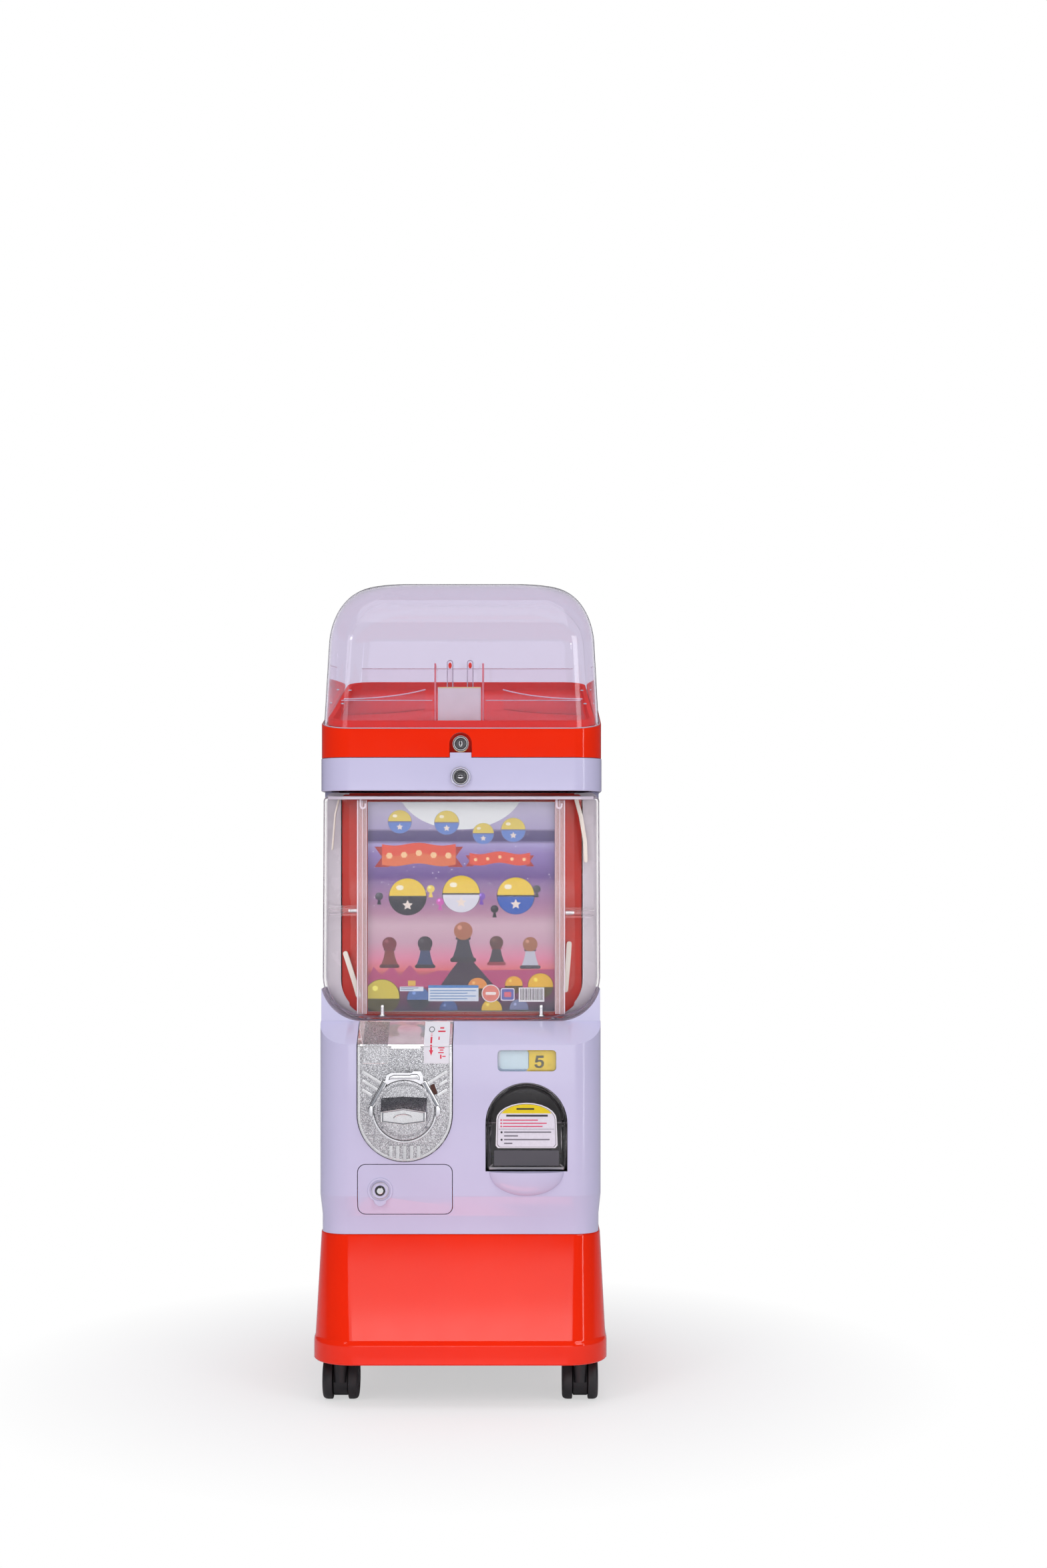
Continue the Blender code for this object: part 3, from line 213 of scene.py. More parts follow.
def studio_floor():
    """Pale floor that brightens into the white surround away from the object."""
    made, tree, shader = new_material("floor")
    place = add(tree, "ShaderNodeTexCoord")
    reach = add(tree, "ShaderNodeVectorMath", {"operation": "LENGTH"})
    tree.links.new(place.outputs["Object"], reach.inputs[0])
    glow_near, glow_far, near, far = 0.52, 1.0, 0.16, 0.62
    glow_share = spread(tree, reach.outputs["Value"], glow_near, glow_far, near, far)
    pale = tinted(tree, noise(tree, 3, 4), (0.90, 0.90, 0.91), (0.92, 0.92, 0.93))
    tree.links.new(pale, shader.inputs["Base Color"])
    shader.inputs["Roughness"].default_value = 0.7
    glow = add(tree, "ShaderNodeEmission", Strength=1.0)
    only = add(tree, "ShaderNodeMath", {"operation": "MULTIPLY"})
    tree.links.new(glow_share, only.inputs[0])
    tree.links.new(seen_directly(tree), only.inputs[1])
    mix = add(tree, "ShaderNodeMixShader")
    tree.links.new(only.outputs[0], mix.inputs["Fac"])
    tree.links.new(shader.outputs["BSDF"], mix.inputs[1])
    tree.links.new(glow.outputs["Emission"], mix.inputs[2])
    tree.links.new(mix.outputs["Shader"], tree.nodes["Material Output"].inputs["Surface"])
    return made


# Each recipe holds the values that its maker takes, in that function's order.

MATERIALS = {"print": printed("print"), "floor": studio_floor()}
for maker, recipes in (
    (plastic, {
        "white_plastic": ((0.575, 0.556, 0.765), (0.598, 0.578, 0.785), 0.20, 0.35),
        "red_plastic": ((0.870, 0.019, 0.0003), (0.890, 0.023, 0.0005), 0.08, 0.0, 0.40, (900, 0.000004)),
        # A lighter, pinker copy of the red plastic: painted light on the lid tray seen through the hood.
        "lit_tray_red": ((0.95, 0.040, 0.030), (0.98, 0.050, 0.038), 0.34, 0.0, 0.0),
        # A darker copy of the red plastic: painted shade on the backing panel behind the poster.
        "shaded_backing_red": ((0.49, 0.021, 0.012), (0.53, 0.025, 0.015), 0.22, 0.0, 0.40),
        "trim_plastic": ((0.57, 0.53, 0.59), (0.61, 0.56, 0.62), 0.25),
        "rose_edge": ((0.78, 0.20, 0.23), (0.84, 0.26, 0.28), 0.25),
        "edge_grey": ((0.50, 0.44, 0.52), (0.58, 0.52, 0.60), 0.20),
        "pale_edge": ((0.72, 0.60, 0.68), (0.80, 0.68, 0.76), 0.20),
        "step_grey": ((0.044, 0.040, 0.054), (0.056, 0.051, 0.066), 0.12, 0.6),
        "dark_plastic": ((0.010, 0.010, 0.012), (0.017, 0.017, 0.019), 0.42, 0.0, 0.5, (1400, 0.00004)),
        "tyre": ((0.012, 0.012, 0.014), (0.022, 0.022, 0.024), 0.48, 0.0, 0.5, (1100, 0.00005)),
        "natural_nylon": ((0.68, 0.66, 0.60), (0.74, 0.72, 0.67), 0.45),
        "cream_plastic": ((0.76, 0.69, 0.62), (0.82, 0.76, 0.69), 0.35),
        "brown_plastic": ((0.075, 0.012, 0.004), (0.100, 0.018, 0.006), 0.35),
        "lock_face": ((0.055, 0.055, 0.060), (0.085, 0.085, 0.092), 0.33, 0.0, 0.5, (1500, 0.00003)),
        "lip_plastic": ((0.30, 0.29, 0.31), (0.36, 0.35, 0.37), 0.12, 0.8),
        "paper": ((0.80, 0.79, 0.84), (0.84, 0.83, 0.88), 0.6, 0.0, 0.5, (1600, 0.00004), 0.0, 40),
        "red_ink": ((0.70, 0.05, 0.09), (0.76, 0.07, 0.11), 0.5, 0.0, 0.5, (1600, 0.00002), 0.0, 40),
        "grey_ink": ((0.20, 0.20, 0.22), (0.26, 0.26, 0.28), 0.5, 0.0, 0.5, (1600, 0.00002), 0.0, 40),
        "yellow_card": ((0.80, 0.66, 0.28), (0.85, 0.72, 0.34), 0.6, 0.0, 0.5, (1600, 0.00004), 0.0, 40),
        "cream_card": ((0.80, 0.74, 0.72), (0.85, 0.79, 0.77), 0.75, 0.0, 0.5, (1800, 0.00005), 0.0, 40),
    }),
    (glitter, {
        "cast_zinc": ((0.34, 0.34, 0.36), (0.74, 0.74, 0.76), 0.34, 1500, 0.00016),
        "glitter_zinc": ((0.40, 0.40, 0.42), (0.76, 0.76, 0.78), 0.30, 1700, 0.00012),
        "dark_glitter": ((0.22, 0.22, 0.24), (0.58, 0.58, 0.60), 0.32, 1700, 0.00014),
    }),
    (metal, {
        "satin_zinc": ((0.56, 0.56, 0.57), (0.64, 0.64, 0.65), 0.24, (700, 0.00003)),
        "polished_zinc": ((0.62, 0.61, 0.61), (0.68, 0.67, 0.67), 0.06, (300, 0.000005)),
        "chrome": ((0.74, 0.74, 0.75), (0.86, 0.86, 0.87), 0.10, (300, 0.00001)),
        "cap_chrome": ((0.60, 0.60, 0.62), (0.70, 0.70, 0.72), 0.17, (300, 0.00001)),
        "dark_chrome": ((0.22, 0.23, 0.25), (0.30, 0.31, 0.33), 0.14, (300, 0.00001)),
        "ring_metal": ((0.80, 0.80, 0.82), (0.90, 0.90, 0.92), 0.36, (600, 0.00001)),
        "brass": ((0.66, 0.40, 0.12), (0.76, 0.50, 0.18), 0.22, (400, 0.00002)),
        "steel": ((0.46, 0.46, 0.47), (0.60, 0.60, 0.61), 0.28, (260, 0.00004), (1, 1, 14)),
    }),
    (clear, {
        "clear_plastic": ((0.970, 0.955, 0.970), 0.015, 1.16, 0.0, 0.05),
        "insert_plastic": ((0.975, 0.935, 0.950), 0.02, 1.012, 0.015),
        "channel_plastic": ((0.970, 0.930, 0.950), 0.03, 1.10, 0.20),
        "window_plastic": ((0.985, 0.980, 0.985), 0.02, 1.35),
        "hood_plastic": ((0.800, 0.766, 0.862), 0.012, 1.18, 0.0, 0.5),
        "cover_plastic": ((0.985, 0.970, 0.980), 0.012, 1.10, 0.0, 0.16),
        "tube_plastic": ((0.970, 0.950, 0.960), 0.010, 1.42),
        "smoked_plastic": ((0.42, 0.40, 0.42), 0.03),
    }),
):
    for material_name, recipe in recipes.items():
        MATERIALS[material_name] = maker(material_name, *recipe)


# Outlines and solids.


def arc(centre, radius, start, end, steps, flat=1.0):
    """Points on an arc, from one angle in degrees to another, with its height scaled by flat."""
    angles = [math.radians(start + (end - start) * k / steps) for k in range(steps + 1)]
    return [(centre[0] + radius * math.cos(a), centre[1] + radius * flat * math.sin(a)) for a in angles]


def round_box(low, high, low_radius, high_radius=None, steps=10):
    high_radius = low_radius if high_radius is None else high_radius
    (u0, v0), (u1, v1) = low, high
    points = arc((u0 + low_radius, v0 + low_radius), low_radius, 180, 270, steps)
    points += arc((u1 - low_radius, v0 + low_radius), low_radius, 270, 360, steps)
    points += arc((u1 - high_radius, v1 - high_radius), high_radius, 0, 90, steps)
    points += arc((u0 + high_radius, v1 - high_radius), high_radius, 90, 180, steps)
    return points


def plan(half, front, rear, radius, steps=10):
    return round_box((-half, front), (half, rear), radius, steps=steps)


def arch(centre_u, half, bottom, spring, steps=28):
    feet = [(centre_u - half, bottom), (centre_u + half, bottom)]
    return feet + arc((centre_u, spring), half, 0, 180, steps)


def circle(centre, radius, sides=32, flat=1.0):
    return arc(centre, radius, 0, 360, sides, flat)[:-1]


def corners(low, high):
    return [low, (high[0], low[1]), high, (low[0], high[1])]


def lift(outline, height):
    if callable(height):
        return [(x, y, height(y)) for x, y in outline]
    return [(x, y, height) for x, y in outline]


def link(name, mesh, material=None, angle=EDGE_ANGLE):
    piece = bpy.data.objects.new(name, mesh)
    bpy.context.scene.collection.objects.link(piece)
    if material:
        mesh.materials.append(MATERIALS[material])
    smooth(mesh, angle)
    return piece


def smooth(mesh, angle):
    """Smooth faces, with the edges that turn sharply kept crisp."""
    bm = bmesh.new()
    bm.from_mesh(mesh)
    limit = math.radians(angle)
    for face in bm.faces:
        face.smooth = True
    for edge in bm.edges:
        edge.smooth = not (len(edge.link_faces) == 2 and edge.calc_face_angle(0.0) > limit)
    bm.to_mesh(mesh)
    bm.free()


def to_mesh(name, bm):
    mesh = bpy.data.meshes.new(name)
    bmesh.ops.recalc_face_normals(bm, faces=bm.faces)
    bm.to_mesh(mesh)
    bm.free()
    return mesh


def loft(name, rings, material=None, closed=True, cap_first=False, cap_last=False):
    bm = bmesh.new()
    loops = [[bm.verts.new(point) for point in ring] for ring in rings]
    count = len(rings[0])
    for lower, upper in zip(loops, loops[1:]):
        for k in range(count if closed else count - 1):
            n = (k + 1) % count
            quad = (lower[k], lower[n], upper[n], upper[k])
            a, b, c, d = (vert.co for vert in quad)
            if (c - a).cross(d - b).length > 1e-9:
                bm.faces.new(quad)
    if cap_first:
        bm.faces.new(reversed(loops[0]))
    if cap_last:
        bm.faces.new(loops[-1])
    bmesh.ops.remove_doubles(bm, verts=bm.verts, dist=1e-6)
    loose = [vert for vert in bm.verts if not vert.link_faces]
    bmesh.ops.delete(bm, geom=loose, context="VERTS")
    return link(name, to_mesh(name, bm), material)


def evaluated(piece):
    """Applies a piece's modifiers to its mesh."""
    bpy.context.view_layer.update()
    graph = bpy.context.evaluated_depsgraph_get()
    mesh = bpy.data.meshes.new_from_object(piece.evaluated_get(graph))
    piece.modifiers.clear()
    piece.data = mesh
    return piece


def thicken(piece, thickness=WALL):
    solid = piece.modifiers.new("Wall", "SOLIDIFY")
    solid.thickness = thickness
    solid.offset = -1
    solid.use_even_offset = True
    solid.use_quality_normals = True
    return evaluated(piece)


def bevelled(piece, width):
    bevel = piece.modifiers.new("Edges", "BEVEL")
    bevel.width = width
    bevel.segments = 2
    bevel.limit_method = "ANGLE"
    bevel.angle_limit = math.radians(EDGE_ANGLE)
    bevel.use_clamp_overlap = True
    piece = evaluated(piece)
    smooth(piece.data, 50)
    return piece


PLANES = {
    "XY": lambda u, v, w: (u, v, w),
    "XZ": lambda u, v, w: (u, w, v),
    "YZ": lambda u, v, w: (w, u, v),
}


def plate(name, outline, plane, low, high, material=None, bevel=0.0, holes=()):
    """A flat piece with an outline and a thickness, and holes where they are given."""
    bm = bmesh.new()
    edges = []
    for loop in (outline, *holes):
        points = [bm.verts.new(PLANES[plane](u, v, low)) for u, v in loop]
        edges += [bm.edges.new(pair) for pair in zip(points, points[1:] + points[:1])]
    if holes:
        bmesh.ops.triangle_fill(bm, use_beauty=True, edges=edges)
    else:
        bm.faces.new(points)
    made = bmesh.ops.extrude_face_region(bm, geom=bm.faces[:])
    depth = Vector(PLANES[plane](0, 0, high)) - Vector(PLANES[plane](0, 0, low))
    moved = [item for item in made["geom"] if isinstance(item, bmesh.types.BMVert)]
    bmesh.ops.translate(bm, vec=depth, verts=moved)
    piece = link(name, to_mesh(name, bm), material)
    return bevelled(piece, bevel) if bevel else piece


def box(name, low, high, material=None, bevel=0.0):
    return plate(name, corners(low[:2], high[:2]), "XY", low[2], high[2], material, bevel)


def turned(name, profile, start, direction, material=None, steps=40):
    """A round piece about a line: the profile is (distance along, radius)."""
    axis = Vector(direction).normalized()
    side = axis.orthogonal().normalized()
    other = axis.cross(side)
    rings = []
    for along, radius in profile:
        middle = Vector(start) + axis * along
        rings.append([tuple(middle + side * u + other * w) for u, w in circle((0, 0), radius, steps)])
    return loft(name, rings, material, cap_first=True, cap_last=True)


def pipe(name, points, radius, material, closed=False):
    """A round bar along a line of points."""
    curve = bpy.data.curves.new(name, "CURVE")
    curve.dimensions = "3D"
    curve.bevel_depth = radius
    curve.bevel_resolution = 3
    curve.use_fill_caps = True
    spline = curve.splines.new("POLY")
    spline.points.add(len(points) - 1)
    spline.use_cyclic_u = closed
    for point, place in zip(spline.points, points):
        point.co = (*place, 1)
    piece = bpy.data.objects.new(name, curve)
    bpy.context.scene.collection.objects.link(piece)
    graph = bpy.context.evaluated_depsgraph_get()
    mesh = bpy.data.meshes.new_from_object(piece.evaluated_get(graph))
    bpy.data.objects.remove(piece)
    return link(name, mesh, material, 60)


def boolean(piece, operation, *tools):
    for tool in tools:
        change = piece.modifiers.new(operation, "BOOLEAN")
        change.operation = operation
        change.solver = "EXACT"
        change.object = tool
    piece = evaluated(piece)
    for tool in tools:
        bpy.data.objects.remove(tool)
    bm = bmesh.new()
    bm.from_mesh(piece.data)
    bmesh.ops.remove_doubles(bm, verts=bm.verts, dist=2e-6)
    bmesh.ops.dissolve_degenerate(bm, edges=bm.edges, dist=2e-6)
    bm.to_mesh(piece.data)
    bm.free()
    smooth(piece.data, EDGE_ANGLE)
    return piece


def joined(name, pieces):
    """One mesh of several."""
    bm = bmesh.new()
    slots = []
    for piece in pieces:
        start = len(bm.faces)
        bm.from_mesh(piece.data)
        bm.faces.ensure_lookup_table()
        slots += [material for material in piece.data.materials if material not in slots]
        own = [slots.index(material) for material in piece.data.materials]
        for face in bm.faces[start:]:
            face.material_index = own[face.material_index] if own else 0
    mesh = bpy.data.meshes.new(name)
    bm.to_mesh(mesh)
    bm.free()
    for material in slots:
        mesh.materials.append(material)
    for piece in pieces:
        bpy.data.objects.remove(piece)
    made = bpy.data.objects.new(name, mesh)
    bpy.context.scene.collection.objects.link(made)
    return made


def refined(node, material=None, bevel=0.0):
    """A new piece from a CAD node's shape, with whole faces, soft edges and smooth curves."""
    bm = bmesh.new()
    bm.from_mesh(frame["nodes"][node].data)
    bmesh.ops.remove_doubles(bm, verts=bm.verts, dist=5e-6)
    bmesh.ops.dissolve_limit(bm, angle_limit=math.radians(0.4), verts=bm.verts, edges=bm.edges)
    bmesh.ops.recalc_face_normals(bm, faces=bm.faces)
    mesh = bpy.data.meshes.new(node)
    bm.to_mesh(mesh)
    bm.free()
    piece = link(node + "_finish", mesh, material or SLOTS[node])
    return bevelled(piece, bevel) if bevel else piece


SLOTS = {entry["node"]: entry["material_slot"] for entry in frame["record"]["subparts"]}
BODY = {node: body for body, nodes in frame["record"]["behaviour"]["bodies"].items() for node in nodes}


def weighted(piece):
    """Lets large faces keep their own normals, so that only the rounded edges shade round."""
    even = piece.modifiers.new("Normals", "WEIGHTED_NORMAL")
    even.mode = "FACE_AREA"
    even.weight = 80
    even.keep_sharp = True
    return evaluated(piece)


def place(piece, body, slot, *replaced):
    """Puts a piece on its body and hides the CAD nodes that it stands for; the record's finish that it is
    handed is not used.
    """
    weighted(piece)
    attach(piece, body)
    if replaced:
        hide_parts(*replaced)
    return piece


def assemble(name, pieces, body, slot, *replaced, angle=EDGE_ANGLE):
    """Several shapes as one piece on its body."""
    made = joined(name, pieces)
    smooth(made.data, angle)
    return place(made, body, slot, *replaced)


def refine(node, material=None, bevel=0.0):
    return place(refined(node, material, bevel), BODY[node], SLOTS[node], node)


# Shells: the large mouldings, rebuilt with finer curves than the CAD model's.


def lid_top(y):
    return LID_FRONT_TOP + LID_SLOPE * (y - BAND_Y)


def front_u(half, front, radius, end):
    points = [(-half, end)]
    points += arc((radius - half, front + radius), radius, 180, 270, 10)
    points += arc((half - radius, front + radius), radius, 270, 360, 10)
    return points + [(half, end)]


def ledge_height(y):
    return min(LEDGE_LOW + LEDGE_SLOPE * (y - FRONT_Y), LEDGE_HIGH)


def make_base():
    """The red base: an inward foot, an upright lip, a rounded step and a tapering body with an inward top."""
    outlines = (
        (0.161, -0.191, 0.206, 0.036, 0.052),
        (0.1735, -0.2035, 0.2185, 0.0485, 0.052),
        (0.175, -0.205, 0.220, 0.050, 0.0535),
        (0.175, -0.205, 0.220, 0.050, 0.0738),
        (0.1748, -0.2046, 0.2198, 0.0498, 0.0762),
        (0.1742, -0.2034, 0.2192, 0.0492, 0.0785),
        (0.1734, -0.2018, 0.2184, 0.0484, 0.0808),
        (0.1674, -0.1788, 0.2064, 0.0374, 0.2005),
        (0.1666, -0.1776, 0.2056, 0.0366, 0.2020),
        (0.151, -0.162, 0.190, 0.021, 0.2020),
    )
    rings = [lift(plan(half, front, rear, radius), z) for half, front, rear, radius, z in outlines]
    return place(thicken(loft("base_moulding", rings, "red_plastic")), "root", "red_plastic", "base_skirt")


def make_hood():
    base_part = 0.55

    def ring(rise, lean, turn):
        side = lean + 0.055 * turn
        front = BAND_Y + 0.003 + 2 * lean + 0.070 * turn
        outline = plan(0.1670 - side, front, 0.207 - side, 0.036 + 0.012 * turn, 14)
        return lift(outline, lambda y: (1 - rise) * (lid_top(y) + 0.0012) + rise * HOOD_TOP)

    rings = [ring(0, 0, 0)]
    for k in range(25):
        angle = math.radians(90 * k / 24)
        rise = base_part + (1 - base_part) * math.sin(angle)
        rings.append(ring(rise, 0.009 * rise, 1 - math.cos(angle)))
    hood = thicken(loft("hood_dome", rings, "hood_plastic", cap_last=True), 0.0025)
    smooth(hood.data, 50)
    return place(hood, "lid", "clear_plastic", "hood")


def rounded_inset(depth, radius):
    """How far a quarter-round edge has turned in at a depth from the front."""
    if depth >= radius:
        return 0.0
    return radius - math.sqrt(radius ** 2 - (radius - depth) ** 2)


def make_cover():
    """The clear display cover: a shallow dish with round corners and sides that swell a little."""
    low, high = LEDGE_HIGH + 0.001, COVER_TOP
    middle, reach = (low + high) / 2, (high - low) / 2
    depths = [0.0445, 0.039] + [CORNER * (1 - math.sin(math.radians(7.5 * k))) for k in range(1, 13)]
    rings = []
    for depth in depths:
        side, end = rounded_inset(depth, CORNER), rounded_inset(depth, 0.007)
        outline = round_box((side - PANEL_HALF, low + end), (PANEL_HALF - side, high - end), 0.050, 0.006, 14)
        swell = [(x * (1 + 0.010 * max(0, 1 - ((z - middle) / reach) ** 2)), z) for x, z in outline]
        rings.append([(x, COVER_Y + depth, z) for x, z in swell])
    cover = thicken(loft("cover_dish", rings, "cover_plastic", cap_last=True), WALL)
    room = box("swing_room", (-0.124, -0.1165, 0.44), (0.124, -0.09, 0.74))
    cover = boolean(cover, "DIFFERENCE", room)
    return place(cover, "display_cover", "clear_plastic", "display_cover")


def make_front():
    """The lower front with its ledge and its openings."""
    collar = front_u(0.1655, FRONT_Y + 0.009, 0.030, COVER_Y)
    face = front_u(PANEL_HALF, FRONT_Y, CORNER, COVER_Y)
    inner = PANEL_HALF - 0.0038
    sill = [x if abs(x) == PANEL_HALF else max(-inner, min(inner, x)) for x, _ in face]
    rings = [
        lift(collar, CABINET_LOW),
        lift(collar, 0.2232),
        lift(face, 0.2474),
        lift(face, 0.2500),
        lift(face, ledge_height),
        [(x, COVER_Y, LEDGE_HIGH) for x in sill],
        [(x, -0.100, LEDGE_HIGH) for x in sill],
    ]
    front = thicken(loft("front_moulding", rings, "white_plastic", closed=False))
    centre = (0.1175, LEDGE_HIGH + 0.051)
    edge = arc(centre, 0.0513, -14, -90, 16)
    outer, low = PANEL_HALF - 0.0004, LEDGE_HIGH - 0.0019
    right = [(centre[0], low), (outer, low), (outer, edge[0][1])] + edge
    left = [(-x, z) for x, z in right]
    shoulders = [plate("shoulder", outline, "XZ", COVER_Y + 0.0002, -0.1007) for outline in (left, right)]
    front = boolean(front, "UNION", joined("shoulders", shoulders))
    mech = arc((KNOB[0], FACEPLATE_ARC_Z), FACEPLATE_HALF + 0.0009, 180, 360, 32)
    mech += [(KNOB[0] + FACEPLATE_HALF + 0.0009, 0.47), (KNOB[0] - FACEPLATE_HALF - 0.0009, 0.47)]
    cutters = [
        plate("mech", mech, "XZ", -0.22, COVER_Y - 0.0012),
        plate("chute", arch(CHUTE_X, 0.0485, 0.278, FLAP_ARC_Z, 32), "XZ", -0.22, -0.17),
        plate("price", round_box((0.0449, 0.3965), (0.1143, 0.4215), 0.005, steps=6), "XZ", -0.22, -0.17),
        plate("door", round_box((-0.1213, 0.2257), (-0.0082, 0.2868), 0.0098, steps=6), "XZ", -0.22, -0.16),
    ]
    return boolean(front, "DIFFERENCE", *cutters)


def make_front_and_bowl():
    front = make_front()
    bowls = []
    for half, depth, height in ((0.0443, 0.012, 0.029), (0.0420, 0.0095, 0.0265)):
        bm = bmesh.new()
        bmesh.ops.create_uvsphere(bm, u_segments=48, v_segments=28, radius=1)
        bmesh.ops.scale(bm, vec=(half, depth, height), verts=bm.verts)
        bmesh.ops.translate(bm, vec=(CHUTE_X, FRONT_Y + 0.001, 0.278), verts=bm.verts)
        bowls.append(link("bowl", to_mesh("bowl", bm), "white_plastic"))
    keep = box("bowl_keep", (0, -0.21, 0.24), (0.15, FRONT_Y + 0.0012, 0.2776))
    bowl = boolean(boolean(bowls[0], "INTERSECT", keep), "DIFFERENCE", bowls[1])
    smooth(bowl.data, 50)
    place(bowl, "root", "white_plastic")
    bowl.name = "catch_bowl"
    return place(front, "root", "white_plastic", "front_panel")


def lock_hole(lock, front):
    """The tool that makes room for a lock's neck."""
    radius, depth = 0.0088, 0.03
    return turned("hole", [(0, radius), (depth, radius)], (lock[0], front, lock[1]), (0, 1, 0))


def make_band():
    outline = plan(0.1705, BAND_Y, 0.2105, 0.039, 14)
    inner = plan(0.1585, BAND_Y + 0.012, 0.1985, 0.027, 14)
    rings = [lift(inner, 0.730), lift(outline, 0.730), lift(outline, 0.7696)]
    band = thicken(loft("band_moulding", rings, "white_plastic"))
    band = bevelled(boolean(band, "DIFFERENCE", lock_hole(DISPLAY_LOCK, -0.165)), 0.0007)
    tab = box("band_tab", (-0.0130, -0.1486, 0.766), (0.0130, -0.1462, 0.7758), "white_plastic", 0.0006)
    place(tab, "root", "white_plastic")
    return place(band, "root", "white_plastic", "top_band")


def lid_plan(inset):
    return plan(0.170 - inset, BAND_Y + inset, 0.210 - inset, max(0.039 - inset, 0.012), 14)


def make_collar():
    rings = [lift(lid_plan(0), 0.7702), lift(lid_plan(0), lid_top), lift(lid_plan(0.009), lid_top)]
    collar = thicken(loft("collar_moulding", rings, "red_plastic"))
    x, z = LID_LOCK
    recess = plate("recess", arch(x, 0.0152, 0.7704, z), "XZ", -0.1470, -0.1355)
    hollow = plate("hollow", arch(x, 0.0134, 0.760, z), "XZ", -0.16, -0.1380)
    collar = boolean(boolean(collar, "UNION", recess), "DIFFERENCE", hollow, lock_hole(LID_LOCK, -0.155))
    line = lift(lid_plan(0.0019), lambda y: lid_top(y) + 0.0006)
    seam = pipe("hood_seam", line, 0.0007, "edge_grey", closed=True)
    place(seam, "lid", "clear_plastic")
    return place(bevelled(collar, 0.0006), "lid", "red_plastic", "lid_collar")


def rear_u(half, start, rear, radius):
    """Both sides and the back of a footprint, open at the front."""
    points = [(half, start)]
    points += arc((half - radius, rear - radius), radius, 0, 90, 14)
    points += arc((radius - half, rear - radius), radius, 90, 180, 14)
    return points + [(-half, start)]


def make_cabinets():
    joint = COVER_Y + 0.0010
    collar = rear_u(0.1655, joint, CABINET_REAR_Y - 0.0025, 0.034)
    body = rear_u(PANEL_HALF, joint, CABINET_REAR_Y, CORNER)
    rings = [lift(collar, CABINET_LOW), lift(collar, 0.224), lift(body, 0.248)]
    rings.append(lift(body, LEDGE_HIGH - WALL - 0.0004))
    lower = thicken(loft("lower_body", rings, "white_plastic", closed=False))
    opening = plate("opening", round_box((-0.105, 0.262), (0.105, 0.425), 0.012), "XZ", 0.19, 0.22)
    place(boolean(lower, "DIFFERENCE", opening), "root", "white_plastic", "lower_cabinet")
    front = -0.0955
    outline = rear_u(PANEL_HALF - 0.0005, front, CABINET_REAR_Y, CORNER)
    outline = [(0.150, front)] + outline + [(-0.150, front)]
    rings = [lift(outline, LEDGE_HIGH - WALL), lift(outline, 0.7296)]
    upper = thicken(loft("upper_body", rings, "white_plastic", closed=False))
    place(upper, "root", "white_plastic", "upper_cabinet")
    refine("back_panel", None, 0.0008)


def make_backing():
    radius, half_angle = 0.5638, 15.11
    wall = arc((0, radius - 0.113), radius, 270 - half_angle, 270 + half_angle, 36)
    # The backing is drawn in a darker red than the red plastic: painted shade.
    sheet = loft("backing", [lift(wall, BACKING_LOW), lift(wall, BACKING_HIGH)], "shaded_backing_red", closed=False)
    backing = thicken(sheet, 0.0025)
    outline = round_box((-0.149, BACKING_LOW), (0.149, BACKING_HIGH), 0.045, 0.006)
    backing = boolean(backing, "INTERSECT", plate("backing_outline", outline, "XZ", -0.13, -0.08))
    place(backing, "root", "red_plastic", "backing_panel")
    outer = round_box((-0.1660, BACKING_LOW), (0.1660, 0.7290), 0.010, 0.008, 14)
    inner = round_box((-0.1480, 0.4560), (0.1480, 0.7270), 0.0445, 0.006, 14)
    trim = plate("backing_trim", outer, "XZ", -0.0959, -0.0941, "trim_plastic", 0.0005, holes=[inner])
    place(trim, "root", "white_plastic")
# Printed sheets: flat coloured shapes on a shallow stack of layers.


class Sheet:
    """Flat shapes in millimetres from a sheet's top left corner, with v downwards, made into one mesh.

    Round shapes are drawn flatter than they are wide by the factor flat."""

    def __init__(self, left, top, size, flat=1.0):
        self.left, self.top, self.size, self.flat = left, top, size, flat
        self.shapes = []

    def draw(self, layer, colour, outline):
        self.shapes.append((layer, [colour] * len(outline), outline))

    def spot(self, layer, colour, centre, radius, squash=1.0, start=0, end=360, sides=28):
        steps = sides if end - start < 360 else sides - 1
        stop = end if end - start < 360 else end - 360 / sides
        self.draw(layer, colour, arc(centre, radius, start, stop, steps, -squash * self.flat))

    def block(self, layer, colour, low, high, radius=0.0):
        if radius:
            self.draw(layer, colour, round_box(low, high, radius, steps=4))
        else:
            self.draw(layer, colour, corners(low, high))

    def wash(self, layer, stops):
        """A background in bands that blend from one (v, colour) to the next."""
        wide = self.size[0]
        for (v0, first), (v1, second) in zip(stops, stops[1:]):
            self.shapes.append((layer, [first, first, second, second], corners((0, v0), (wide, v1))))

    def made(self, name, front_y, material):
        bm = bmesh.new()
        inks = bm.loops.layers.color.new("ink")
        for layer, colours, outline in self.shapes:
            points = []
            for u, v in outline:
                x = self.left + min(max(u, 0), self.size[0]) / 1000
                z = self.top - min(max(v, 0), self.size[1]) / 1000
                points.append(bm.verts.new((x, front_y - LAYER * (layer + 1), z)))
            face = bm.faces.new(points)
            face.normal_update()
            if face.normal.y > 0:
                face.normal_flip()
            for loop in face.loops:
                ink = colours[points.index(loop.vert)]
                loop[inks] = (*[channel / 255 for channel in ink], 1)
        piece = bpy.data.objects.new(name, bpy.data.meshes.new(name))
        bm.to_mesh(piece.data)
        bm.free()
        bpy.context.scene.collection.objects.link(piece)
        piece.data.materials.append(MATERIALS[material])
        return piece


def lighter(colour, amount):
    return tuple(min(255, channel + amount) for channel in colour)


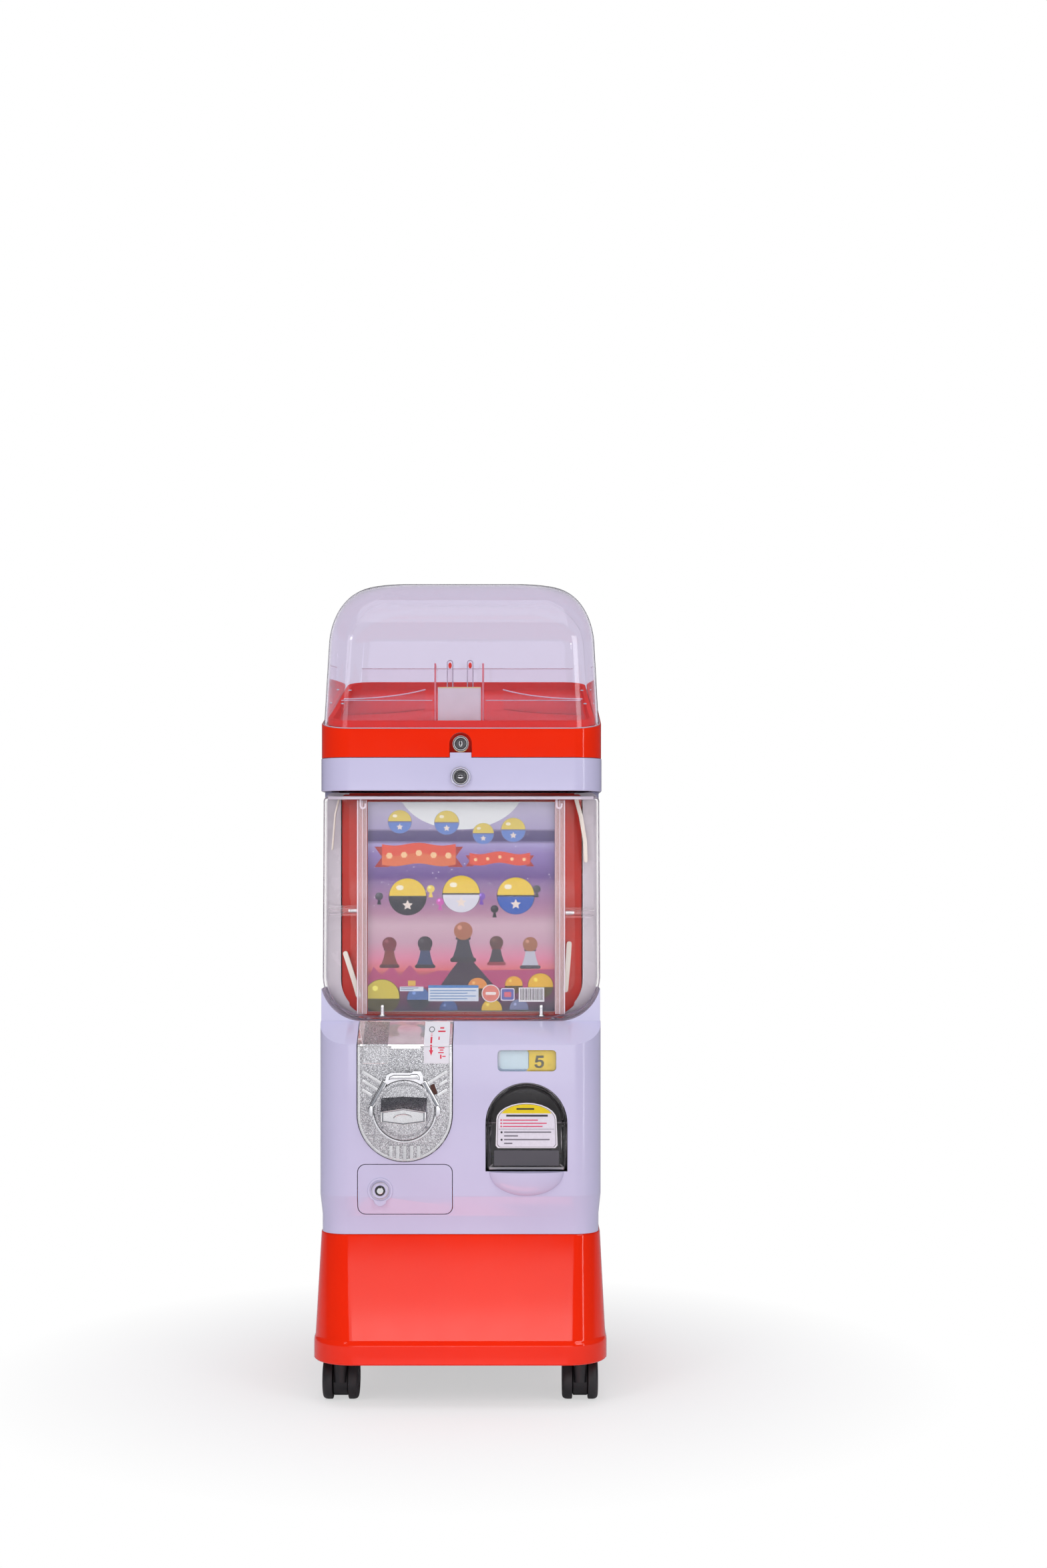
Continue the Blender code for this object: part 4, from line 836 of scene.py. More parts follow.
def draw_capsule(sheet, layer, centre, radius, shell, base, dark):
    """A two-tone ball capsule with a seam, a shine and a small toy star on its lower half."""
    u, v = centre
    down = radius * sheet.flat
    sheet.spot(layer, dark, (u, v + down * 0.03), radius * 1.04)
    sheet.spot(layer + 1, shell, centre, radius, 1, 0, 180)
    sheet.spot(layer + 1, base, (u, v + down * 0.06), radius, 1, 180, 360)
    sheet.block(layer + 2, dark, (u - radius, v - down * 0.02), (u + radius, v + down * 0.07))
    sheet.spot(layer + 2, (255, 250, 220), (u - radius * 0.42, v - down * 0.48), radius * 0.20, 0.7)
    star = []
    for k in range(10):
        reach, turn = (0.30 if k % 2 else 0.14), math.pi * k / 5
        star.append((u + radius * reach * math.sin(turn), v + down * (0.5 + reach * math.cos(turn))))
    sheet.draw(layer + 2, (245, 235, 225), star)


def draw_pawn(sheet, layer, centre, size, head, body, foot):
    """A plain playing piece: a ball on a bell, with no face."""
    u, v = centre
    down = size * sheet.flat
    half = [(0.30, -0.1), (0.42, 0.5), (0.62, 1.1)]
    bell = [(u - size * half[0][0], v + down * half[0][1])]
    bell += [(u + size * wide, v + down * low) for wide, low in half]
    bell += [(u - size * wide, v + down * low) for wide, low in half[:0:-1]]
    sheet.draw(layer, body, bell)
    sheet.block(layer + 1, foot, (u - size * 0.72, v + down), (u + size * 0.72, v + down * 1.26), size * 0.12)
    neck = size * 0.42
    sheet.block(layer + 1, foot, (u - neck, v - down * 0.16), (u + neck, v - down * 0.02), size * 0.06)
    sheet.spot(layer + 2, head, (u, v - down * 0.52), size * 0.52)
    sheet.spot(layer + 3, lighter(head, 45), (u - size * 0.2, v - down * 0.72), size * 0.13)


def draw_ribbon(sheet, low, high, rows):
    """A festive ribbon with forked ends, where the real sheet has a title."""
    (u0, v0), (u1, v1) = low, high
    middle, fork, wave, shadow = (v0 + v1) / 2, (v1 - v0) * 0.36, 1.8, (180, 62, 60)
    steps = 12
    for row in range(rows):
        top = [(u0 + (u1 - u0) * k / steps, v0 + wave * math.sin(k * 0.8)) for k in range(steps + 1)]
        height = (v1 - v0) / rows
        band = [(u, v + height * row) for u, v in top]
        band += [(u, v + height * (row + 1)) for u, v in reversed(top)]
        sheet.draw(2, (236, 92 + 34 * row, 70 + 14 * row), band)
    upper, lower, tip = v0 + 3.1, v1 + 2.7, middle + 2.9
    left_end = corners((u0 - fork, upper), (u0 + fork, lower)) + [(u0, tip)]
    right_end = corners((u1 - fork, upper), (u1 + fork, lower))
    right_end.insert(2, (u1, tip))
    sheet.draw(1, shadow, left_end)
    sheet.draw(1, shadow, right_end)
    for k in range(5):
        place_at = (u0 + (u1 - u0) * (k + 0.5) / 5, middle + wave * math.sin((k + 0.5) * 1.92))
        sheet.spot(4, (255, 214, 160), place_at, (v1 - v0) * 0.164, 1, sides=6)


def draw_poster():
    """A night sky over pink hills with rows of capsules and playing pieces."""
    sheet = Sheet(-0.1132, 0.7168, (226.4, 253.6), 0.9734)
    sheet.wash(0, [
        (0, (206, 204, 228)), (32.1, (178, 172, 208)), (35.4, (104, 96, 140)), (46.5, (84, 76, 124)),
        (50.9, (174, 166, 214)), (63.1, (150, 132, 194)), (89.7, (112, 84, 152)), (114.1, (156, 110, 160)),
        (134, (186, 140, 168)), (149.5, (214, 184, 198)), (169.4, (206, 166, 186)), (189.4, (228, 142, 172)),
        (203.8, (222, 112, 120)), (211.5, (160, 62, 104)), (231.5, (110, 50, 88)), (253.6, (46, 40, 72)),
    ])
    sheet.spot(1, (240, 248, 248), (112.6, -18.8), 76.2, 0.70, 180, 360, 40)
    random.seed(7)
    for _ in range(110):
        size = random.choice((0.36, 0.50, 0.73))
        place_at = (random.uniform(2.3, 224.1), random.uniform(3.3, 131.8))
        sheet.spot(1 if place_at[1] > 34.3 else 2, (240, 236, 250), place_at, size, sides=6)
    for u, v, size in ((38.7, 23.3, 14.1), (95.6, 24.4, 14.6), (139.9, 37.7, 12.7), (176.3, 33.2, 14.6)):
        draw_capsule(sheet, 3, (u, v), size, (232, 214, 110), (112, 146, 214), (130, 128, 160))
    draw_ribbon(sheet, (17.1, 50.9), (106.5, 76), 2)
    draw_ribbon(sheet, (123.3, 61.4), (196.8, 75.1), 1)
    for centre, base in (((48.2, 114.1), (28, 30, 48)), ((113.1, 110.7), (226, 230, 240)),
                         ((179.3, 113), (34, 92, 190))):
        draw_capsule(sheet, 2, centre, 22.3, (240, 206, 22), base, (34, 32, 44))
    for u, v, colour in ((13.7, 114.1, (40, 38, 60)), (76.2, 105.2, (238, 214, 90)),
                         (87.6, 120.7, (214, 96, 190)), (137.7, 114.1, (120, 70, 190)),
                         (153.6, 129.6, (30, 30, 46)), (204.8, 105.2, (30, 30, 46))):
        sheet.spot(2, colour, (u, v), 4.8)
        sheet.spot(3, lighter(colour, 60), (u - 1.4, v - 1.6), 1.6)
        sheet.draw(2, colour, [(u - 1.1, v + 4), (u + 1.1, v + 4), (u + 2.7, v + 10.2), (u - 2.7, v + 10.2)])
    roofs = [(0, 213.7), (6.8, 199.6), (16.4, 209.7), (30, 198.2), (38.7, 210.6), (51, 197.3), (64.2, 211.5),
             (84.2, 204.4), (226.4, 202.7), (226.4, 224.8), (0, 224.8)]
    sheet.draw(1, (184, 70, 122), roofs)
    hill = [(84.2, 228.1), (100.6, 204.4), (111.5, 190.5), (125.1, 190.5), (138.8, 206), (158.1, 228.1)]
    sheet.draw(2, (52, 40, 62), hill)
    sheet.block(3, (226, 184, 80), (48.7, 216.4), (57.8, 222.6))
    pawns = (
        ((26.2, 180.5), 16.8, (120, 44, 58), (132, 62, 62), (88, 40, 52)),
        ((69.4, 180.1), 17.3, (52, 46, 58), (60, 74, 112), (40, 36, 48)),
        ((115.6, 167.2), 21.8, (176, 112, 86), (56, 58, 74), (38, 38, 50)),
        ((155.9, 178.3), 15.9, (96, 64, 62), (62, 58, 70), (150, 60, 76)),
        ((196.8, 181), 17.3, (168, 112, 84), (196, 200, 214), (70, 66, 80)),
    )
    for pawn in pawns:
        draw_pawn(sheet, 3, *pawn)
    balls = (((17.1, 235.9), 20.9, (216, 200, 70)), ((61.4, 238.1), 13.7, (78, 116, 178)),
             ((133.1, 224.8), 11.8, (232, 150, 70)), ((177, 221.7), 10.5, (238, 176, 52)),
             ((209.3, 222.6), 15, (240, 190, 40)), ((150.2, 251.4), 12.3, (228, 190, 60)),
             ((183.2, 250.5), 11.4, (120, 130, 170)), ((97.8, 251.4), 10.9, (64, 92, 150)))
    for (u, v), radius, colour in balls:
        sheet.spot(2, tuple(c // 3 for c in colour), (u, v), radius * 1.05)
        sheet.spot(3, colour, (u, v - 0.4), radius, 1, -8, 188)
        sheet.spot(4, lighter(colour, 50), (u - radius * 0.4, v - radius * sheet.flat * 0.5), radius * 0.16)
    sheet.block(6, (226, 236, 246), (38.7, 223.7), (67.4, 229.2))
    sheet.block(6, (222, 234, 246), (73.3, 221.9), (134.2, 241.4))
    sheet.block(7, (74, 138, 204), (73.3, 221.9), (134.2, 225.2))
    for k in range(4):
        sheet.block(7, (96, 150, 206), (75.5, 227.9 + 3.3 * k), (131.1 - 10.5 * (k % 2), 229 + 3.3 * k))
    for k in range(2):
        sheet.block(7, (96, 120, 160), (40, 224.8 + 2.2 * k), (61.4 - 5.9 * k, 225.7 + 2.2 * k))
    sheet.spot(6, (244, 238, 240), (149, 231.9), 11.1)
    sheet.spot(7, (232, 134, 120), (149, 231.9), 10)
    sheet.block(8, (250, 240, 236), (142.7, 230.1), (155.4, 233.7), 1.4)
    sheet.block(6, (236, 232, 244), (161.1, 225.5), (177.9, 240.8), 2.3)
    sheet.block(7, (98, 106, 186), (162.2, 226.6), (176.8, 239.6), 1.8)
    sheet.block(8, (228, 110, 130), (165.2, 230.1), (173.8, 236.3), 1.4)
    sheet.block(6, (240, 240, 244), (182.9, 224.8), (213.9, 242.1))
    u = 184.8
    for k in range(19):
        wide = (0.55, 1.00, 0.68)[(k * 2) % 3]
        sheet.block(7, (52, 52, 66), (u, 226.1), (u + wide, 239.9))
        u += wide + (0.59, 0.91)[k % 2]
    return sheet


def make_poster():
    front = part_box("poster")[0][1]
    place(draw_poster().made("poster_print", front, "print"), "display_cover", "printed_card")
    refine("poster", "paper")


def draw_price():
    """A blank pale half and a yellow half with one number."""
    sheet = Sheet(0.0447, 0.4218, (69.8, 25.6))
    sheet.wash(0, [(0, (226, 232, 240)), (19, (205, 219, 236)), (25.6, (112, 146, 186))])
    sheet.block(1, (206, 228, 240), (3.2, 1.4), (37.3, 23.2), 3.2)
    yellow = [(33.9, -0.5), (69.1, -0.5), (69.1, 26.1), (33.9, 26.1), (36.6, 21.8), (36.6, 3.3)]
    sheet.draw(1, (236, 204, 44), yellow)
    sheet.block(2, (202, 170, 24), (36.8, 23.9), (69.1, 25.6))
    number = [(54.7, 7.1), (54.7, 10), (48.3, 10), (47.9, 12.3), (50.1, 11.9), (52.9, 12.6), (54.9, 14.7),
              (55.1, 17.1), (54.2, 19.9), (51.5, 21.8), (48.3, 22), (45.6, 21.1), (43.8, 19), (43.6, 18),
              (46.5, 17.3), (47.7, 19.2), (49.5, 19.7), (51.5, 18.7), (52.2, 16.8), (51.3, 14.9),
              (49.5, 14.2),
              (47.7, 14.9), (47, 15.6), (44.3, 15.2), (45.9, 7.1)]
    sheet.draw(3, (82, 76, 48), number)
    for k in range(2):
        sheet.block(3, (206, 176, 40), (59.2, 16.6 + 2.1 * k), (64.2, 17.5 + 2.1 * k))
    return sheet


def make_price():
    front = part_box("price_card")[0][1]
    place(draw_price().made("price_print", front, "print"), "root", "price_card")
    refine("price_card", "paper")
    refine("price_window", "window_plastic", 0.0006)


def draw_notice():
    """The notice on the flap, with plain bars where the real one has text."""
    sheet = Sheet(CHUTE_X - 0.0368, 0.3600, (73.6, 54.0), 0.9883)
    rim = [(3.1, 54), (0.4, 51.1), (1.3, 20.3)] + arc((36.8, 20.3), 35.7, 180, 0, 12, -0.5559)
    rim += [(72.3, 20.3), (73.6, 50.7), (70.9, 54)]
    middle = (36.8, 28.2)

    def shrunk(scale):
        return [(middle[0] + (u - middle[0]) * scale, middle[1] + (v - middle[1]) * scale) for u, v in rim]

    sheet.draw(0, (236, 234, 240), rim)
    sheet.draw(1, (70, 68, 74), shrunk(0.955))
    sheet.draw(2, (228, 226, 236), shrunk(0.94))
    sheet.draw(3, (232, 208, 36), arc((36.8, 20.3), 32.6, 156, 24, 11, -0.5551))
    sheet.block(4, (80, 76, 50), (25, 6.6), (45.9, 8.8))
    sheet.block(4, (66, 64, 70), (12.9, 14.5), (62, 16.8))
    for k, end in enumerate((50.4, 60.7, 55.8)):
        sheet.block(4, (222, 84, 118), (8.9, 20.3 + 3.7 * k), (end, 21.6 + 3.7 * k))
        sheet.spot(4, (222, 84, 118), (6.9, 20.9 + 3.7 * k), 1.1, sides=8)
    sheet.block(4, (110, 108, 116), (4, 31.3), (69.6, 31.7))
    for k, end in enumerate((66, 26.8, 64.2, 20.1)):
        sheet.block(4, (120, 118, 128), (10.3, 34.4 + 4.4 * k), (end, 35.9 + 4.4 * k))
    for v in (35.3, 44.1):
        sheet.spot(4, (60, 58, 64), (7.4, v), 1.3, sides=10)
    return sheet


def make_flap():
    flap = refine("chute_flap", "smoked_plastic", 0.0005)
    flap.name = "flap_window"
    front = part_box("chute_flap")[0][1]
    place(draw_notice().made("flap_notice", front, "print"), "flap", "cream_card")
    low, rim_y, half = 0.2830, -0.1862, 0.0452
    ends = [(CHUTE_X + sign * 0.0440, -0.1868, 0.2820) for sign in (-1, 1)]
    place(pipe("flap_lip", ends, 0.0019, "lip_plastic"), "flap", "clear_plastic")
    rim = [(CHUTE_X - half, low), (CHUTE_X - half, FLAP_ARC_Z)] + arc((CHUTE_X, FLAP_ARC_Z), half, 174, 6, 28)
    rim += [(CHUTE_X + half, FLAP_ARC_Z), (CHUTE_X + half, low)]
    bar_line = [(x, rim_y, z) for x, z in rim]
    place(pipe("flap_rim", bar_line, 0.0012, "smoked_plastic"), "flap", "smoked_plastic")
    step = round_box((CHUTE_X - 0.0385, 0.2850), (CHUTE_X + 0.0385, 0.3036), 0.0012, steps=3)
    step = plate("flap_step", step, "XZ", front - 0.0006, front + 0.0008, "step_grey", 0.0004)
    place(step, "flap", "smoked_plastic")
    for name, sign in (("flap_corner_left", -1), ("flap_corner_right", 1)):
        corner = [(CHUTE_X + sign * u, -0.1868, z) for u, z in ((0.0440, 0.2824), (0.0398, 0.2866))]
        place(pipe(name, corner, 0.0010, "lip_plastic"), "flap", "clear_plastic")
# The coin mechanism's face, with its ribs, labels and knob.


def ledge_point(y, proud):
    """The height of the faceplate's sloping top at y."""
    skin = 0.0015
    return LEDGE_LOW + skin + proud + LEDGE_SLOPE * (y - FRONT_Y)


def faceplate_shape(inset):
    half = FACEPLATE_HALF - inset
    points = arc((KNOB[0], FACEPLATE_ARC_Z), half, 180, 360, 40)
    return points + [(KNOB[0] + half, 0.4262 - inset * 0.2), (KNOB[0] - half, 0.4262 - inset * 0.2)]


def bar(name, start, end, width, y, height, material, bevel=0.00025):
    """A raised bar on the faceplate, from one (x, z) to another."""
    (x0, z0), (x1, z1) = start, end
    length = math.hypot(x1 - x0, z1 - z0)
    nx, nz = (z1 - z0) / length * width / 2, (x0 - x1) / length * width / 2
    outline = [(x0 + nx, z0 + nz), (x1 + nx, z1 + nz), (x1 - nx, z1 - nz), (x0 - nx, z0 - nz)]
    return plate(name, outline, "XZ", y - height, y + 0.0004, material, bevel)


def bent_label(name, left, right, low_z, top_y, proud, material):
    """A thin label that runs down the sloping top and onto the face."""
    front = FACE_FRONT
    side = [(front + 0.0003, low_z), (front - proud, low_z)]
    side += [(front - proud, ledge_point(front, proud) - 0.0002)]
    side += [(top_y, ledge_point(top_y, proud)), (top_y, ledge_point(top_y, -0.0004))]
    side += [(front + 0.0006, ledge_point(front, -0.0006))]
    return plate(name, side, "YZ", left, right, material, 0.00012)


def make_faceplate():
    x, z = KNOB
    shaft_hole = circle(KNOB, 0.0058, 24)
    face = plate("face", faceplate_shape(0.0), "XZ", FACE_FRONT, -0.1845, "cast_zinc", holes=[shaft_hole])
    end = COVER_Y - 0.0016
    side = [(FACE_FRONT, 0.4258), (-0.1845, 0.4258), (-0.1845, ledge_point(-0.1845, -0.0047))]
    side += [(end, ledge_point(end, -0.0047)), (end, ledge_point(end, 0))]
    side += [(FACE_FRONT, ledge_point(FACE_FRONT, 0))]
    tongue = plate("tongue", side, "YZ", x - FACEPLATE_HALF, x + FACEPLATE_HALF, "polished_zinc")
    slot_at, slot_tilt = (x + 0.0345, z + 0.0236), 20
    pocket = plate("pocket", tilted(slot_at, 0.0027, 0.0063, slot_tilt), "XZ", -0.1900, FACE_FRONT + 0.0014)
    face = boolean(face, "DIFFERENCE", pocket)
    rim = plate("rim", faceplate_shape(0.0002), "XZ", FACE_FRONT - 0.0007, FACE_FRONT + 0.0004, "satin_zinc",
                0.00025, holes=[faceplate_shape(0.0034)])
    pieces = [face, tongue, rim]
    pieces += [bar("cheek", (x + s * 0.0543, ledge_point(FACE_FRONT, 0)), (x + s * 0.0543, 0.4262), 0.003,
                   FACE_FRONT, 0.0005, "satin_zinc") for s in (-1, 1)]
    for sign in (-1, 1):
        for start, finish in (((0.0505, 0.0455), (0.0275, 0.0310)), ((0.0505, 0.0350), (0.0300, 0.0220)),
                              ((0.0505, 0.0240), (0.0385, 0.0165))):
            if sign > 0 and start[1] == 0.0350:
                finish = (0.0405, 0.0287)
            ends = [(x + sign * u, z + w) for u, w in (start, finish)]
            pieces.append(bar("rib", *ends, 0.0042, FACE_FRONT, 0.0009, "satin_zinc", 0.0004))
    for k in range(-2, 3):
        drop = 0.0600 - 0.0012 * abs(k)
        pieces.append(bar("flute", (x + 0.0082 * k, z - 0.0425), (x + 0.0082 * k, z - drop), 0.0046,
                          FACE_FRONT, 0.0009, "satin_zinc", 0.0004))
    assemble("faceplate_cast", pieces, "root", "cast_zinc", "coin_faceplate")
    slot = plate("return_slot", tilted(slot_at, 0.0026, 0.0062, slot_tilt), "XZ",
                 FACE_FRONT + 0.0006, FACE_FRONT + 0.0013, "brown_plastic", 0.0002)
    place(slot, "root", "cast_zinc")


def tilted(centre, half_wide, half_high, degrees):
    """A small rectangle turned in the face's plane."""
    across, up = math.cos(math.radians(degrees)), math.sin(math.radians(degrees))
    return [(centre[0] + u * across - w * up, centre[1] + u * up + w * across)
            for u, w in corners((-half_wide, -half_high), (half_wide, half_high))]


def make_knob_guard():
    """The bright frame round the knob: a cap, two struts, two end lugs and a lower ring."""
    x, z = KNOB
    front = FACE_FRONT
    cap = [(-0.0228, 0.0335), (-0.0210, 0.0415), (-0.0150, 0.0445), (0.0090, 0.0445), (0.0105, 0.0465)]
    cap += [(0.0195, 0.0465), (0.0222, 0.0415), (0.0228, 0.0335), (0.0190, 0.0308)]
    cap += arc((0, 0), 0.0362, 58, 122, 12)
    outline = [(x + u, z + w) for u, w in cap]
    pieces = [plate("cap", outline, "XZ", front - 0.0115, front + 0.0003, "cap_chrome", 0.0016)]
    ridge = [(x + u * 0.80, z + 0.0385 + (w - 0.0385) * 0.55) for u, w in cap[:8]]
    ridge += [(x + 0.0150, z + 0.0372), (x - 0.0150, z + 0.0372)]
    pieces.append(plate("ridge", ridge, "XZ", front - 0.0130, front - 0.0100, "cap_chrome", 0.0009))
    for sign in (-1, 1):
        upper, lower = (x + sign * 0.0222, z + 0.0345), (x + sign * 0.0392, z + 0.0040)
        pieces.append(bar("strut", upper, lower, 0.0066, front, 0.0080, "chrome", 0.0012))
        # A dark chrome stripe down each strut: a painted dark reflection.
        pieces.append(bar("dark_reflection", (x + sign * 0.0232, z + 0.0327), (x + sign * 0.0384, z + 0.0054), 0.0028,
                          front - 0.0072, 0.0012, "dark_chrome", 0.0003))
        lug = [(0.0366, 0.0050), (0.0400, 0.0062), (0.0428, 0.0020), (0.0428, -0.0038), (0.0400, -0.0080),
               (0.0366, -0.0080)]
        outline = [(x + sign * u, z + w) for u, w in lug]
        pieces.append(plate("lug", outline, "XZ", front - 0.0086, front + 0.0003, "cap_chrome", 0.0010))
    ring = arc(KNOB, 0.0388, 188, 352, 36) + arc(KNOB, 0.0362, 352, 188, 36)
    pieces.append(plate("lower_ring", ring, "XZ", front - 0.0078, front + 0.0003, "cap_chrome", 0.0006))
    assemble("knob_guard", pieces, "root", "cast_zinc")


def draw_label():
    """A red arrow and plain strokes on the faceplate's notice."""
    sheet = Sheet(KNOB[0] + 0.0229, 0.4282, (29.5, 21.8))
    red = (228, 74, 96)
    arrow = [(7.3, 0), (9.5, 0), (9.5, 6.5), (10.8, 6.5), (8.4, 13.1), (5.9, 6.5), (7.3, 6.5)]
    sheet.draw(0, red, arrow)
    for u, v, wide, high in ((16.7, 3.1, 7.5, 1.3), (18.5, 5.7, 4.4, 1.3), (16.7, 8.7, 6.6, 1.3),
                             (18.9, 11.8, 1.8, 4.8),
                             (21.6, 13.1, 4, 1.3)):
        sheet.block(0, red, (u, v), (u + wide, v + high))
    return sheet


def make_labels():
    x = KNOB[0]
    top = COVER_Y - 0.0040
    blank = bent_label("label_blank", x - 0.0492, x - 0.0200, 0.4060, top, 0.0003, "glitter_zinc")
    edge = bent_label("label_blank_edge", x - 0.0497, x - 0.0195, 0.4055, top + 0.0006, 0.00015,
                      "polished_zinc")
    place(joined("labels_left", [blank, edge]), "root", "cast_zinc")
    middle = bent_label("label_middle", x - 0.0160, x + 0.0190, 0.4235, top - 0.004, 0.0002, "polished_zinc")
    place(middle, "root", "cast_zinc")
    card = bent_label("label_card", x + 0.0227, x + 0.0526, 0.4060, top, 0.0004, "paper")
    place(card, "root", "cream_card")
    place(draw_label().made("label_marks", FACE_FRONT - 0.0004, "print"), "root", "cream_card")
    middle = (8.4, 24.5)
    marks = [(corners((u0, v0), (u1, v1)), "red_ink") for u0, v0, u1, v1 in
             ((7.3, 0, 9.5, 11.6), (7.3, 13.6, 9.5, 15), (7.3, 17, 9.5, 17.7),
              (16.7, 6.1, 18.1, 11.6), (15.9, 19.7, 24.7, 22.4), (18.1, 25.8, 22.9, 28.6))]
    marks += [(circle(middle, 3.5, 20, 1.5444), "grey_ink"), (circle(middle, 2.4, 20, 1.5444), "paper")]
    upper = []
    for k, (outline, colour) in enumerate(marks):
        proud = 0.00054 if colour == "paper" else 0.00048
        bm = bmesh.new()
        points = []
        for u, v in outline:
            y = FACE_FRONT + 0.001 + v / 1000
            points.append(bm.verts.new((x + 0.0229 + u / 1000, y, ledge_point(y, proud))))
        bm.faces.new(points)
        upper.append(link(f"mark_{k + 1}", to_mesh("mark", bm), colour))
    place(joined("label_marks_top", upper), "root", "cream_card")


def make_knob():
    x, z = KNOB
    profile = [(0.0, 0.0296), (0.0008, 0.0304), (0.0008, 0.0312), (0.0, 0.0320), (0.0, 0.0347)]
    profile += [(0.0002, 0.0352), (0.0007, 0.0354), (0.0076, 0.0354), (0.0081, 0.0349)]
    disc = turned("disc", profile, (x, -0.1970, z), (0, 1, 0), "glitter_zinc", 72)

    def six_sided(half, high, low, foot, peak):
        return [(-half, high), (-half, low), (0.0, foot), (half, low), (half, high), (0.0, peak)]

    root = six_sided(0.0272, 0.0150, -0.0116, -0.0152, 0.0166)
    grip = six_sided(0.0268, 0.0008, -0.0113, -0.0150, 0.0052)
    rings = [[(x + u, y, z + w) for u, w in outline] for y, outline in ((-0.1962, root), (-0.2188, grip))]
    bar_piece = bevelled(loft("grip", rings, "dark_glitter", cap_first=True, cap_last=True), 0.0009)
    middle = -0.0052

    def scaled(s):
        return [(x + u * s, z + middle + (w - middle) * (s - (1 - s) * 0.8)) for u, w in grip]

    rear = -0.2186
    lip = plate("lip", scaled(0.985), "XZ", -0.2199, rear, "polished_zinc", 0.0003, holes=[scaled(0.93)])
    groove = plate("groove", scaled(0.935), "XZ", -0.21905, rear, "dark_chrome", holes=[scaled(0.87)])
    face = plate("inset", scaled(0.875), "XZ", -0.2193, rear, "satin_zinc")
    sweep = [(u, -0.2193, w) for u, w in arc((x, z - 0.0084), 0.0115, 165, 25, 14, 0.0062 / 0.0115)]
    swoosh = pipe("swoosh", sweep, 0.00055, "polished_zinc")
    dot = [(0.0, 0.0007), (0.0, 0.0011), (0.0003, 0.0014), (0.0007, 0.0014)]
    marks = [turned("mark", dot, (u, -0.1974, w), (0, 1, 0), "dark_chrome", 16)
             for u, w in arc(KNOB, 0.0331, -142, -38, 1)]
    assemble("knob_turned", [disc, bar_piece, lip, groove, face, swoosh, *marks], "knob", "chrome", "knob")


# Locks.


def lock_barrel(name, node, body, lock, front, radius, neck, back, bands):
    """A turned barrel with a rounded rim. Its bands are (outer radius, inner radius, material)."""
    profile = [(back, 0.0062), (back, 0.0084), (neck, 0.0084), (neck, radius - 0.0003)]
    profile += [(neck - 0.0003, radius), (front + 0.0012, radius), (front + 0.0005, radius - 0.0003)]
    profile += [(front, radius - 0.0007)]
    profile += [(front, radius - 0.0010), (front + 0.0005, radius - 0.0014), (front + 0.0007, 0.0066)]
    profile += [(front + 0.0005, 0.0062)]
    rings = []
    for y, r in profile + profile[:1]:
        rings.append([(u, y, w) for u, w in circle(lock, r, 56)])
    pieces = [loft(name, rings, "ring_metal")]
    for outer, inner, material in bands:
        y = front + (0.0001 if material == "ring_metal" else 0.0003)
        pieces.append(plate("band", circle(lock, outer, 56), "XZ", y, front + 0.0009, material,
                            holes=[circle(lock, inner, 56)]))
    return assemble(name, pieces, body, "chrome", node)


def lock_plug(name, body, lock, front, level, node):
    """The CAD plug and its cam, with a dark face and a keyway between bright wards."""
    x, z = lock
    cam = refined(node, "steel", 0.0002)
    profile = [(0.0, 0.002), (0.0, 0.0054), (0.0003, 0.0057), (0.0008, 0.0057)]
    face = turned("face", profile, (x, front - 0.0002, z), (0, 1, 0), "lock_face", 40)
    wide, high = (0.0036, 0.0023) if level else (0.0022, 0.0036)
    wards = circle(lock, wide, 32, high / wide)
    key = (0.0036, 0.0006) if level else (0.0006, 0.0032)
    slit = round_box((x - key[0], z - key[1] + 0.0003), (x + key[0], z + key[1] + 0.0003), 0.0004, steps=3)
    notch = round_box((x - 0.0011, z - 0.0006), (x + 0.0011, z + 0.0014), 0.0005, steps=3)
    pieces = [cam, face, plate("wards", wards, "XZ", front - 0.0005, front, "ring_metal", 0.0002)]
    pieces.append(plate("slit", slit, "XZ", front - 0.0006, front, "dark_plastic"))
    pieces.append(plate("notch", notch, "XZ", front - 0.00065, front, "dark_plastic"))
    return assemble(name, pieces, body, "chrome", node)


